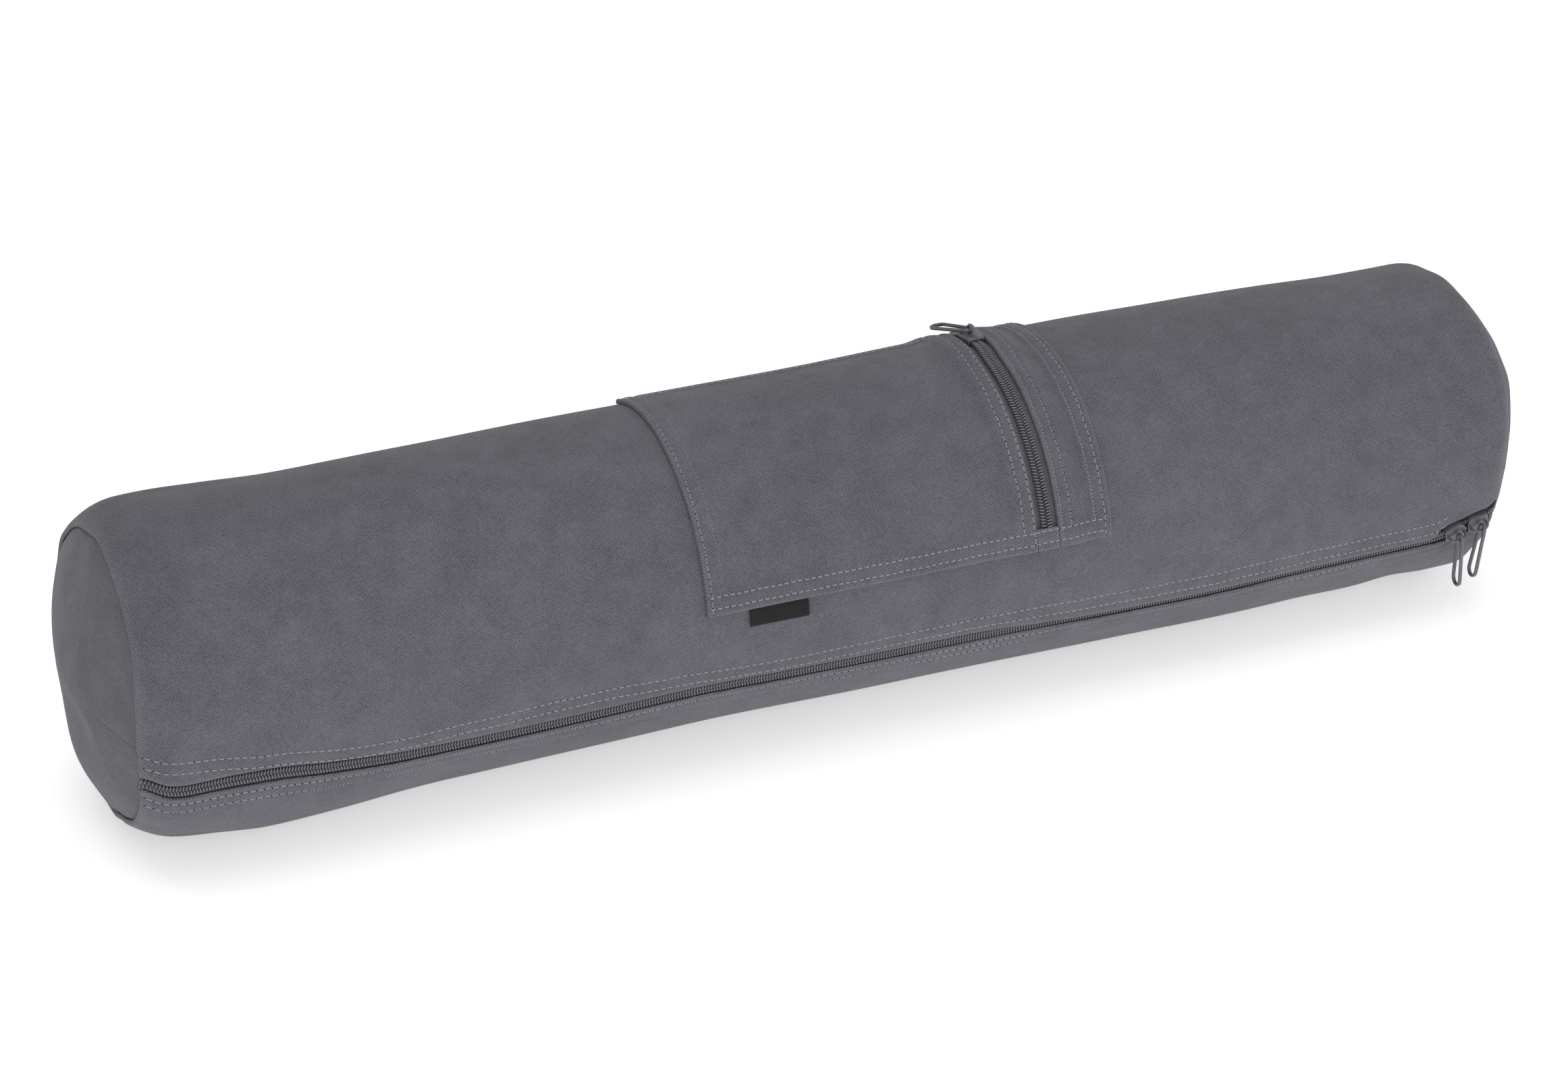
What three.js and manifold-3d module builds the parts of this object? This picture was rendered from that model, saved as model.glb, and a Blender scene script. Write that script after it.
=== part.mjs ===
// A zipped canvas bag for a rolled yoga mat, which lies on its side.
// Millimetres. +X runs along the bag towards its two sliders, -Y is the front with the zip, +Z is up.
// The origin is the middle of the flattened base.
import * as THREE from 'three';
import { mergeVertices } from 'three/addons/utils/BufferGeometryUtils.js';
import Module from 'manifold-3d';

const wasm = await Module();
wasm.setup();

// The canvas tube and its round end panels
const BAG_LENGTH = 660;
const BAG_RADIUS = 75;
const BASE_SAG = 3;
const CANVAS = 1.6;
const GAP = 0.3;
const LEFT_SEAM = { drop: 7, round: 22 };
const RIGHT_SEAM = { drop: 4.5, round: 9 };
const SEAM_CURVE = 2.3;
const LEAN_REACH = 40;
const LEFT_END = { bulge: 15, fullness: 0.88 };
const RIGHT_END = { bulge: 18, fullness: 0.55 };

// The zips: coil rows on woven tapes
const COIL_WIDTH = 5.8;
const COIL_THICK = 2.2;
const TAPE = 1;
const TAPE_WIDTH = 13;
const SLOT_MARGIN = 1.7;
const ZIP_END_CLEAR = 2;
const RISE_LENGTH = 26;
const RISE_EASE = 14;
const RISE_SLOPE = THREE.MathUtils.degToRad(18);
const FLAP_WIDTH = 14;
const FLARE_LENGTH = 8;

// The sliders
const SLIDER_LENGTH = 10.5;
const SLIDER_PLATE = 1;
const SLIDER_WALL = 0.8;
const SLIDER_SPACING = 11.6;
const SLIDER_FROM_SEAM = 12.4;
const SLIDER_CLEAR = 0.4;
const SLIDER_CORNER = 1;
const SLIDER_NOSE_ROUND = 3;
const FLANGE_SHARE = 0.7;
const ROW_CLEAR = 0.2;
const POST_WIDTH = 1.2;
const POST_LENGTH = 2.6;
const POST_POINT_SHARE = 0.6;
const BRIDGE_RADIUS = 0.75;
const BRIDGE_HALF_SPAN = 3.9;
const BRIDGE_STAND = 4;
const BRIDGE_SHOULDER = { along: 0.6, height: 0.7 };

// The ring pulls
const PULL_LENGTH = 28;
const PULL_THICK = 1.6;
const PULL_RIM = 1.4;
const PULL_EYE = 3.2;
const PULL_END = 4.2;
const RIGHT_PULL_LEAN = THREE.MathUtils.degToRad(9);
const POCKET_PULL_TURN = THREE.MathUtils.degToRad(15);
const POCKET_PULL_DIP = THREE.MathUtils.degToRad(11);

// The outside pocket: x along the bag, heights as arcs round it from the front line
const POCKET_LEFT = -76;
const POCKET_WIDTH = 197;
const POCKET_FOOT = 12.5;
const POCKET_HEIGHT = 142;
const POCKET_ZIP_FROM_RIGHT = 32.5;
const POCKET_SLOT_HALF = 5.4;
const POCKET_HEM = 10;
const POCKET_TAPE_WIDTH = 11;
const POCKET_SLIDER_FROM_TOP = 29;
const FOLDED_EDGE = 2.4;
const FOLD_SLOPE = 12;

// The blank label
const LABEL_LEFT = -56;
const LABEL_WIDTH = 28;
const LABEL_HEIGHT = 8.8;
const LABEL_THICK = 1;

// How far the cloth stands out of the plain tube, as shares of the radius, at places along the bag.
const SWELL = [
  { along: -0.50, top: 0.005, low: 0.020 },
  { along: -0.45, top: 0.014, low: 0.030 },
  { along: -0.41, top: 0.000, low: 0.050 },
  { along: -0.36, top: -0.020, low: 0.035 },
  { along: -0.28, top: -0.010, low: 0.000 },
  { along: -0.16, top: -0.004, low: -0.010 },
  { along: -0.08, top: -0.006, low: -0.022 },
  { along: 0.02, top: -0.004, low: -0.008 },
  { along: 0.12, top: 0.012, low: 0.000 },
  { along: 0.22, top: 0.022, low: 0.012 },
  { along: 0.30, top: 0.008, low: 0.024 },
  { along: 0.38, top: -0.006, low: 0.016 },
  { along: 0.45, top: -0.026, low: 0.010 },
  { along: 0.50, top: -0.024, low: 0.004 },
];

// Dents and soft folds: place along the bag, angle round it, reach along, spread round, slant, depth.
// Lengths are shares of the bag's length and depths shares of its radius. Angles are degrees.
const DENTS = [
  { along: -0.505, angle: -68, reach: 0.034, spread: 24, slant: 0.0000, depth: 0.064 },
  { along: -0.483, angle: 6, reach: 0.022, spread: 9, slant: 0.0020, depth: 0.034 },
  { along: -0.468, angle: -52, reach: 0.030, spread: 8, slant: -0.0012, depth: 0.030 },
  { along: -0.440, angle: 106, reach: 0.060, spread: 5, slant: 0.0000, depth: 0.012 },
  { along: 0.440, angle: 84, reach: 0.020, spread: 26, slant: 0.0012, depth: 0.014 },
  { along: 0.430, angle: -50, reach: 0.018, spread: 14, slant: -0.0014, depth: 0.024 },
  { along: 0.350, angle: -44, reach: 0.022, spread: 12, slant: -0.0010, depth: 0.014 },
  { along: -0.300, angle: -47, reach: 0.030, spread: 10, slant: 0.0010, depth: 0.012 },
];

// How far the end seams lean towards +X at angles round the bag, as shares of its radius.
const SEAM_LEAN = [
  { angle: -90, left: 0, right: 0 },
  { angle: 0, left: 0, right: 0 },
  { angle: 18, left: 0.020, right: 0.045 },
  { angle: 42, left: 0.060, right: 0.085 },
  { angle: 84, left: 0.070, right: 0.064 },
  { angle: 116, left: 0.035, right: 0.060 },
  { angle: 160, left: 0, right: 0 },
  { angle: 270, left: 0, right: 0 },
];

// The long zip's angle below the front line, in degrees, up to where it rises to its right end.
const ZIP_PATH = [
  { along: -0.500, angle: -13.4 },
  { along: -0.483, angle: -15.6 },
  { along: -0.445, angle: -15.0 },
  { along: -0.420, angle: -14.9 },
  { along: -0.373, angle: -18.2 },
  { along: -0.317, angle: -21.7 },
  { along: -0.270, angle: -22.8 },
  { along: -0.130, angle: -22.2 },
  { along: -0.060, angle: -23.5 },
  { along: 0.100, angle: -24.0 },
  { along: 0.240, angle: -25.0 },
  { along: 0.330, angle: -23.6 },
  { along: 0.460, angle: -23.2 },
];

// The canvas edges beside the long zip: how much of the slot's half width each leaves open.
const ZIP_EDGES = [
  { along: -0.50, upper: 0.80, lower: 1.00 },
  { along: 0.08, upper: 0.80, lower: 1.00 },
  { along: 0.18, upper: 0.50, lower: 1.00 },
  { along: 0.42, upper: 0.50, lower: 1.00 },
];

// The ridge of the left end panel, in shares of the seam's radius: height, and place across.
const END_RIDGE = [
  { height: -1.00, across: -0.60 },
  { height: -0.60, across: -0.80 },
  { height: -0.41, across: -0.66 },
  { height: -0.20, across: -0.48 },
  { height: 0.00, across: -0.29 },
  { height: 0.38, across: -0.19 },
  { height: 0.72, across: -0.15 },
  { height: 1.00, across: 0.00 },
];

// A coil row across its width: share of the width from the zip's middle, and drop below its crown.
const COIL_CROWN = [
  { across: 0, drop: 0.22 },
  { across: 0.55, drop: 0 },
  { across: 1, drop: 0.3 },
];

const HALF_LENGTH = BAG_LENGTH / 2;
const AXIS_HEIGHT = BAG_RADIUS - BASE_SAG;
const ROW_WIDTH = (COIL_WIDTH - GAP) / 2;
const COIL_SPREAD = (POST_WIDTH + GAP) / 2 + ROW_CLEAR;
const SLIDER_HALF_TAIL = COIL_WIDTH / 2 + SLIDER_CLEAR + SLIDER_WALL;
const SLIDER_HALF_NOSE = SLIDER_HALF_TAIL + COIL_SPREAD;
const SLOT_HALF = COIL_WIDTH / 2 + SLOT_MARGIN;
const SLOT_HALF_AT_SLIDERS = SLIDER_HALF_NOSE + SLIDER_CLEAR + GAP;
const FLAP_LIFT = CANVAS + GAP;
const PULL_EYE_HOLE = PULL_EYE - PULL_RIM;

const materials = {
  canvas: new THREE.MeshStandardMaterial({ color: 0x5f5e66, roughness: 0.95, metalness: 0 }),
  pocket: new THREE.MeshStandardMaterial({ color: 0x66656e, roughness: 0.95, metalness: 0 }),
  tape: new THREE.MeshStandardMaterial({ color: 0x4b4a50, roughness: 0.9, metalness: 0 }),
  coil: new THREE.MeshStandardMaterial({ color: 0x3f3f45, roughness: 0.5, metalness: 0 }),
  metal: new THREE.MeshStandardMaterial({ color: 0x55555b, roughness: 0.4, metalness: 0.6 }),
  label: new THREE.MeshStandardMaterial({ color: 0x0d0d0f, roughness: 0.8, metalness: 0 }),
};

const bag = new THREE.Group();

function addPiece(name, geometry, material) {
  const piece = new THREE.Mesh(geometry, material);
  piece.name = name;
  bag.add(piece);
  return piece;
}

// Even steps from 0 to 1, drawn together towards both ends by a power above 1.
function steps(count, power = 1) {
  return Array.from({ length: count + 1 }, (_, k) => {
    const t = (2 * k) / count - 1;
    return (1 + Math.sign(t) * (1 - (1 - Math.abs(t)) ** power)) / 2;
  });
}

// A smooth 0 to 1 between two limits.
function ease(value, from, to) {
  return THREE.MathUtils.smoothstep(value, from, to);
}

// A table's column at a place, eased between its rows.
function lookUp(table, key, place, column) {
  const next = table.findIndex((row) => row[key] > place);
  if (next === 0) return table[0][column];
  if (next < 0) return table[table.length - 1][column];
  const [a, b] = [table[next - 1], table[next]];
  return THREE.MathUtils.lerp(a[column], b[column], ease(place, a[key], b[key]));
}

// A closed solid from points and triangles, turned so that its faces point out.
function closedSolid(points, faces) {
  let volume = 0;
  for (const [a, b, c] of faces) {
    volume += points[a].dot(new THREE.Vector3().crossVectors(points[b], points[c]));
  }
  const turned = volume > 0 ? faces : faces.map(([a, b, c]) => [a, c, b]);
  const geometry = new THREE.BufferGeometry();
  geometry.setAttribute('position', new THREE.Float32BufferAttribute(points.flatMap((p) => p.toArray()), 3));
  geometry.setIndex(turned.flat());
  geometry.computeVertexNormals();
  return geometry;
}

// A cloth wall: two faces over the same grid of shares, joined round their four edges.
function wall(along, across, outer, inner) {
  const points = [];
  const faces = [];
  const width = across.length;
  const inside = along.length * width;
  for (const face of [outer, inner]) {
    for (const u of along) {
      for (const v of across) points.push(face(u, v));
    }
  }
  const quad = (a, b, c, d) => faces.push([a, b, c], [a, c, d]);
  const last = { row: along.length - 1, column: width - 1 };
  for (let i = 0; i < last.row; i += 1) {
    for (let j = 0; j < last.column; j += 1) {
      const a = i * width + j;
      quad(a, a + 1, a + width + 1, a + width);
      quad(inside + a, inside + a + width, inside + a + width + 1, inside + a + 1);
    }
    const near = i * width;
    const far = near + last.column;
    quad(near, near + width, inside + near + width, inside + near);
    quad(far, inside + far, inside + far + width, far + width);
  }
  for (let j = 0; j < last.column; j += 1) {
    const end = last.row * width + j;
    quad(j, inside + j, inside + j + 1, j + 1);
    quad(end, end + 1, inside + end + 1, inside + end);
  }
  return closedSolid(points, faces);
}

// A round cloth wall: each face is a pole and rings of spokes, joined round the rim.
function domedWall(rings, spokes, outer, inner) {
  const points = [];
  const faces = [];
  const perFace = rings * spokes + 1;
  for (const face of [outer, inner]) {
    points.push(face(0, 0));
    for (let i = 1; i <= rings; i += 1) {
      for (let j = 0; j < spokes; j += 1) points.push(face(i / rings, (j / spokes) * 2 * Math.PI));
    }
  }
  for (let j = 0; j < spokes; j += 1) {
    const k = (j + 1) % spokes;
    faces.push([0, 1 + j, 1 + k], [perFace, perFace + 1 + k, perFace + 1 + j]);
    for (let i = 0; i < rings - 1; i += 1) {
      const [a, b] = [1 + i * spokes + j, 1 + i * spokes + k];
      faces.push([a, a + spokes, b + spokes], [a, b + spokes, b]);
      faces.push([perFace + a, perFace + b + spokes, perFace + a + spokes]);
      faces.push([perFace + a, perFace + b, perFace + b + spokes]);
    }
    const [p, q] = [1 + (rings - 1) * spokes + j, 1 + (rings - 1) * spokes + k];
    faces.push([p, perFace + p, perFace + q], [p, perFace + q, q]);
  }
  return closedSolid(points, faces);
}

// How far the cloth swells at a place: the top and the low front each by their own column.
function swell(x, angle) {
  const place = x / BAG_LENGTH;
  const top = Math.max(0, Math.cos(angle - THREE.MathUtils.degToRad(105))) ** 2;
  const low = Math.max(0, Math.cos(angle + THREE.MathUtils.degToRad(45))) ** 2;
  const share = lookUp(SWELL, 'along', place, 'top') * top + lookUp(SWELL, 'along', place, 'low') * low;
  return share * BAG_RADIUS;
}

// How far the tube's end turns in towards its seam.
function seamTurn(x) {
  const seam = x < 0 ? LEFT_SEAM : RIGHT_SEAM;
  const fromSeam = Math.min(1, (HALF_LENGTH - Math.abs(x)) / seam.round);
  return seam.drop * (1 - fromSeam) ** SEAM_CURVE;
}

// The depth of all dents at a place.
function dentDepth(x, angle) {
  const degrees = THREE.MathUtils.radToDeg(angle);
  return DENTS.reduce((depth, dent) => {
    const turn = THREE.MathUtils.euclideanModulo(degrees - dent.angle + 180, 360) - 180;
    const u = (x / BAG_LENGTH - dent.along - dent.slant * turn) / dent.reach;
    const v = turn / dent.spread;
    return depth + dent.depth * BAG_RADIUS * Math.exp(-u * u - v * v);
  }, 0);
}

// How far the cloth near an end leans towards +X, which is most at its seam.
function seamLean(x, angle) {
  const degrees = THREE.MathUtils.euclideanModulo(THREE.MathUtils.radToDeg(angle) + 90, 360) - 90;
  const share = lookUp(SEAM_LEAN, 'angle', degrees, x < 0 ? 'left' : 'right');
  return share * BAG_RADIUS * ease(Math.abs(x), HALF_LENGTH - LEAN_REACH, HALF_LENGTH);
}

// A point of the bag: offset is outwards from the canvas's face, and the base is flat on the ground.
function skin(x, angle, offset) {
  const r = BAG_RADIUS + swell(x, angle) - seamTurn(x) - dentDepth(x, angle) + offset;
  const z = AXIS_HEIGHT + r * Math.sin(angle);
  return new THREE.Vector3(x + seamLean(x, angle), -r * Math.cos(angle), Math.max(z, -offset));
}

// How steeply the long zip climbs at a place, as a rise for each millimetre along the bag.
function zipClimb(x) {
  const start = HALF_LENGTH - RISE_LENGTH;
  return Math.tan(RISE_SLOPE) * THREE.MathUtils.clamp((x - start + RISE_EASE) / RISE_EASE, 0, 1);
}

// The long zip's angle: its table, then a climb that eases in and runs straight to the right seam.
function zipAngle(x) {
  const start = HALF_LENGTH - RISE_LENGTH;
  const eased = THREE.MathUtils.clamp((x - start + RISE_EASE) / RISE_EASE, 0, 1);
  const rise = Math.tan(RISE_SLOPE) * ((eased * eased * RISE_EASE) / 2 + Math.max(0, x - start));
  const level = lookUp(ZIP_PATH, 'along', x / BAG_LENGTH, 'angle');
  return THREE.MathUtils.degToRad(level) + rise / BAG_RADIUS;
}

// The angle at a distance across the long zip, above its middle line where positive.
function besideZip(x, distance) {
  return zipAngle(x) + (distance * Math.hypot(1, zipClimb(x))) / BAG_RADIUS;
}

// Where each main slider sits, and the middle between their noses.
const RIGHT_SLIDER_X = HALF_LENGTH - SLIDER_FROM_SEAM;
const LEFT_SLIDER_X = RIGHT_SLIDER_X - SLIDER_SPACING * Math.cos(RISE_SLOPE);
const NOSES_X = (LEFT_SLIDER_X + RIGHT_SLIDER_X) / 2;

// How far each coil row stands off the zip's middle, by the distance inside a slider from its nose.
function rowSpread(fromNose) {
  const parted = POST_LENGTH + 2 * GAP;
  return COIL_SPREAD * THREE.MathUtils.clamp((SLIDER_LENGTH - fromNose) / (SLIDER_LENGTH - parted), 0, 1);
}

function mainSpread(x) {
  const fromNoses = Math.abs(x - NOSES_X) / Math.cos(RISE_SLOPE);
  return rowSpread(fromNoses - (SLIDER_SPACING - SLIDER_LENGTH) / 2);
}

// The half width of the slot that a canvas edge leaves: its table, and room for the sliders.
function slotHalf(x, side) {
  const usual = SLOT_HALF * lookUp(ZIP_EDGES, 'along', x / BAG_LENGTH, side);
  const flareEnd = LEFT_SLIDER_X - SLIDER_LENGTH / 2;
  const flare = ease(x, flareEnd - FLARE_LENGTH, flareEnd - GAP);
  return THREE.MathUtils.lerp(usual, SLOT_HALF_AT_SLIDERS, flare);
}

// Where the upper canvas edge hangs over the coil it is lifted clear of it.
function flapLift(x, distance) {
  const covers = 1 - ease(slotHalf(x, 'upper'), SLOT_HALF * 0.5, SLOT_HALF * 0.95);
  return FLAP_LIFT * covers * (1 - ease(distance, 0, FLAP_WIDTH));
}

function buildBody() {
  const face = (offset) => (u, v) => {
    const x = (u - 0.5) * BAG_LENGTH;
    const start = besideZip(x, slotHalf(x, 'upper'));
    const end = besideZip(x, -slotHalf(x, 'lower')) + 2 * Math.PI;
    const angle = THREE.MathUtils.lerp(start, end, v);
    return skin(x, angle, offset + flapLift(x, (angle - start) * BAG_RADIUS));
  };
  const geometry = wall(steps(28, 1.6), steps(36, 1.25), face(0), face(-CANVAS));
  addPiece('body_panel', geometry, materials.canvas);
}

// A plain domed end over its seam plane, at a height and a place across in shares of the seam's radius.
function endDome(end, height, across) {
  return end.bulge * Math.max(0, 1 - height * height - across * across) ** end.fullness;
}

// The left end's dome falls straight from its ridge to the seam in front of it.
function ridgedDome(end, height, across) {
  const rim = Math.sqrt(Math.max(0, 1 - height * height));
  const ridge = Math.max(-rim, lookUp(END_RIDGE, 'height', height, 'across'));
  const width = ridge + rim;
  const dome = endDome(end, height, across);
  if (across >= ridge || width <= 0) return dome;
  return Math.min(dome, (endDome(end, height, ridge) * (across + rim)) / width);
}

function buildEndPanel(name, side) {
  const end = side < 0 ? LEFT_END : RIGHT_END;
  const rimX = side * HALF_LENGTH;
  const middle = new THREE.Vector3(rimX, 0, AXIS_HEIGHT);
  const face = (depth) => (share, angle) => {
    const rim = skin(rimX, angle, -CANVAS - GAP - depth);
    const point = new THREE.Vector3().lerpVectors(middle, rim, share);
    const dome = side < 0 ? ridgedDome : endDome;
    point.x += side * dome(end, share * Math.sin(angle), -share * Math.cos(angle)) * (1 - depth / end.bulge);
    return point;
  };
  addPiece(name, domedWall(5, 36, face(0), face(CANVAS)), materials.canvas);
}

// Places along a zip: coarse over its level stretch and fine where it climbs and its rows part.
function zipStations() {
  const first = -HALF_LENGTH + ZIP_END_CLEAR;
  const last = HALF_LENGTH - ZIP_END_CLEAR;
  const start = HALF_LENGTH - RISE_LENGTH - RISE_EASE;
  const level = steps(18, 1.6).map((t) => THREE.MathUtils.lerp(first, start, t));
  const climb = steps(14).slice(1).map((t) => THREE.MathUtils.lerp(start, last, t));
  return [...level, ...climb];
}

function buildMainZip(row, side) {
  const stations = zipStations();
  const tapeFace = (depth) => (x, distance) => {
    const place = Math.max(GAP / 2 + mainSpread(x), distance);
    return skin(x, besideZip(x, side * place), -COIL_THICK - GAP - depth);
  };
  const tapeColumns = [0, SLOT_HALF, TAPE_WIDTH];
  addPiece(`main_zip_tape_${row}`, wall(stations, tapeColumns, tapeFace(0), tapeFace(TAPE)), materials.tape);
  const coilFace = (isTop) => (x, share) => {
    const distance = GAP / 2 + mainSpread(x) + share * ROW_WIDTH;
    const drop = lookUp(COIL_CROWN, 'across', share, 'drop') * COIL_THICK;
    return skin(x, besideZip(x, side * distance), isTop ? -drop : -COIL_THICK);
  };
  const across = COIL_CROWN.map((point) => point.across);
  addPiece(`main_zip_coil_${row}`, wall(stations, across, coilFace(true), coilFace(false)), materials.coil);
}

// The pocket's places: its own height above its foot, as an angle round the bag.
const POCKET_RIGHT = POCKET_LEFT + POCKET_WIDTH;
const POCKET_ZIP_X = POCKET_RIGHT - POCKET_ZIP_FROM_RIGHT;
const POCKET_SLIDER_HEIGHT = POCKET_HEIGHT - POCKET_SLIDER_FROM_TOP;
const POCKET_TAPE_TOP = GAP + TAPE;
const POCKET_COIL_TOP = POCKET_TAPE_TOP + GAP + COIL_THICK;
const SLIDER_BED = SLIDER_WALL + 2 * SLIDER_CLEAR;

function pocketAngle(height) {
  return (POCKET_FOOT + height) / BAG_RADIUS;
}

// The pocket's zip is raised where its slider's lower plate lies under it.
function pocketLift(height) {
  const away = Math.abs(height - POCKET_SLIDER_HEIGHT);
  return SLIDER_BED * (1 - ease(away, SLIDER_LENGTH * 0.65, SLIDER_LENGTH * 1.9));
}

// The pocket's rows part inside its slider and stay apart above it.
function pocketSpread(height) {
  return rowSpread(POCKET_SLIDER_HEIGHT + SLIDER_LENGTH / 2 - height);
}

// How far the pocket's cloth stands off the bag: close at its edges and over the tape by the zip.
function pocketStand(x, height) {
  const fromZip = Math.abs(x - POCKET_ZIP_X);
  const overTape = 1 - ease(fromZip, POCKET_TAPE_WIDTH + GAP, POCKET_TAPE_WIDTH + FOLD_SLOPE);
  return GAP + (TAPE + GAP) * overTape + pocketLift(height) * overTape;
}

function pocketThickness(x) {
  const fromZip = Math.abs(x - POCKET_ZIP_X);
  const folded = 1 - ease(fromZip, POCKET_SLOT_HALF + FOLD_SLOPE, POCKET_SLOT_HALF + FOLD_SLOPE + 1);
  return THREE.MathUtils.lerp(CANVAS, FOLDED_EDGE, folded);
}

function pocketFace(isOuter) {
  return (height, x) => {
    const offset = pocketStand(x, height) + (isOuter ? pocketThickness(x) : 0);
    return skin(x, pocketAngle(height), offset);
  };
}

function buildPocketCloth() {
  const heights = steps(20).map((t) => t * POCKET_HEIGHT);
  const leftEdge = POCKET_ZIP_X - POCKET_SLOT_HALF;
  const rightEdge = POCKET_ZIP_X + POCKET_SLOT_HALF;
  const foldLine = POCKET_TAPE_WIDTH + FOLD_SLOPE - POCKET_SLOT_HALF;
  const panelColumns = [
    ...steps(4).map((t) => THREE.MathUtils.lerp(POCKET_LEFT, leftEdge - foldLine, t)),
    leftEdge - FOLD_SLOPE,
    POCKET_ZIP_X - POCKET_TAPE_WIDTH - GAP,
    leftEdge,
  ];
  const overTapeEdge = POCKET_ZIP_X + POCKET_TAPE_WIDTH + GAP;
  const bandSlope = steps(3).map((t) => THREE.MathUtils.lerp(overTapeEdge, POCKET_RIGHT, t));
  const bandColumns = [rightEdge, ...bandSlope];
  const tabColumns = [leftEdge + GAP, rightEdge - GAP];
  const tabHeights = steps(2).map((t) => t * (POCKET_HEM - GAP));
  const cloth = (rows, columns) => wall(rows, columns, pocketFace(true), pocketFace(false));
  addPiece('pocket_panel', cloth(heights, panelColumns), materials.pocket);
  addPiece('pocket_band', cloth(heights, bandColumns), materials.pocket);
  addPiece('pocket_hem_tab', cloth(tabHeights, tabColumns), materials.pocket);
}

function buildPocketZip(row, side) {
  const finer = POCKET_SLIDER_HEIGHT - SLIDER_LENGTH * 1.4;
  const low = steps(14).map((t) => THREE.MathUtils.lerp(GAP, finer, t));
  const high = steps(12).slice(1).map((t) => THREE.MathUtils.lerp(finer, POCKET_HEIGHT - GAP, t));
  const tapeHeights = [...low, ...high];
  const coilHeights = [POCKET_HEM, ...tapeHeights.filter((height) => height > POCKET_HEM)];
  const tapeFace = (offset) => (height, distance) => {
    const place = Math.max(GAP / 2 + pocketSpread(height), distance);
    return skin(POCKET_ZIP_X + side * place, pocketAngle(height), offset + pocketLift(height));
  };
  const tapeColumns = [0, ROW_WIDTH + COIL_SPREAD, POCKET_TAPE_WIDTH];
  const tape = wall(tapeHeights, tapeColumns, tapeFace(POCKET_TAPE_TOP), tapeFace(GAP));
  addPiece(`pocket_zip_tape_${row}`, tape, materials.tape);
  const coilFace = (isTop) => (height, share) => {
    const distance = GAP / 2 + pocketSpread(height) + share * ROW_WIDTH;
    const drop = isTop ? lookUp(COIL_CROWN, 'across', share, 'drop') * COIL_THICK : COIL_THICK;
    const offset = POCKET_COIL_TOP - drop + pocketLift(height);
    return skin(POCKET_ZIP_X + side * distance, pocketAngle(height), offset);
  };
  const across = COIL_CROWN.map((point) => point.across);
  const coil = wall(coilHeights, across, coilFace(true), coilFace(false));
  addPiece(`pocket_zip_coil_${row}`, coil, materials.coil);
}

function buildLabel() {
  const face = (offset) => (height, x) => skin(x, pocketAngle(height), offset);
  const heights = [-LABEL_HEIGHT - GAP, -LABEL_HEIGHT / 2 - GAP, -GAP];
  const columns = [LABEL_LEFT, LABEL_LEFT + LABEL_WIDTH / 2, LABEL_LEFT + LABEL_WIDTH];
  addPiece('label', wall(heights, columns, face(GAP + LABEL_THICK), face(GAP)), materials.label);
}

// A geometry as a manifold, and a manifold as a geometry.
function toManifold(geometry) {
  const bare = geometry.clone();
  bare.deleteAttribute('normal');
  bare.deleteAttribute('uv');
  const merged = mergeVertices(bare, 1e-4);
  return new wasm.Manifold(new wasm.Mesh({
    numProp: 3,
    vertProperties: merged.attributes.position.array,
    triVerts: merged.index.array,
  }));
}

function toGeometry(manifold) {
  const mesh = manifold.getMesh();
  const geometry = new THREE.BufferGeometry();
  geometry.setAttribute('position', new THREE.Float32BufferAttribute(mesh.vertProperties, mesh.numProp));
  geometry.setIndex(Array.from(mesh.triVerts));
  geometry.computeVertexNormals();
  return geometry;
}

// A slider seen from above: narrow at its tail, wide at its round nose. inset draws it in.
function sliderOutline(inset) {
  const tail = SLIDER_HALF_TAIL - inset;
  const nose = SLIDER_HALF_NOSE - inset;
  const half = SLIDER_LENGTH / 2 - inset;
  const outline = new THREE.Shape();
  outline.moveTo(-half, -tail + SLIDER_CORNER);
  outline.quadraticCurveTo(-half, -tail, -half + SLIDER_CORNER, -tail);
  outline.lineTo(half - SLIDER_NOSE_ROUND, -nose);
  outline.quadraticCurveTo(half, -nose, half, 0);
  outline.quadraticCurveTo(half, nose, half - SLIDER_NOSE_ROUND, nose);
  outline.lineTo(-half + SLIDER_CORNER, tail);
  outline.quadraticCurveTo(-half, tail, -half, tail - SLIDER_CORNER);
  outline.closePath();
  return outline;
}

function layer(shape, from, to) {
  const options = { depth: to - from, bevelEnabled: false, curveSegments: 3 };
  return toManifold(new THREE.ExtrudeGeometry(shape, options).translate(0, 0, from));
}

// Heights in a slider's own frame, from the coil's crown.
const PLATE_LOW = SLIDER_CLEAR;
const PLATE_TOP = PLATE_LOW + SLIDER_PLATE;
const BRIDGE_HEIGHT = PLATE_TOP + BRIDGE_STAND;
const LOWER_PLATE_TOP = -(COIL_THICK + GAP + TAPE + SLIDER_CLEAR);
const LOWER_PLATE_LOW = LOWER_PLATE_TOP - SLIDER_WALL;
const FLANGE_LOW = -COIL_THICK * FLANGE_SHARE;

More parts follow.
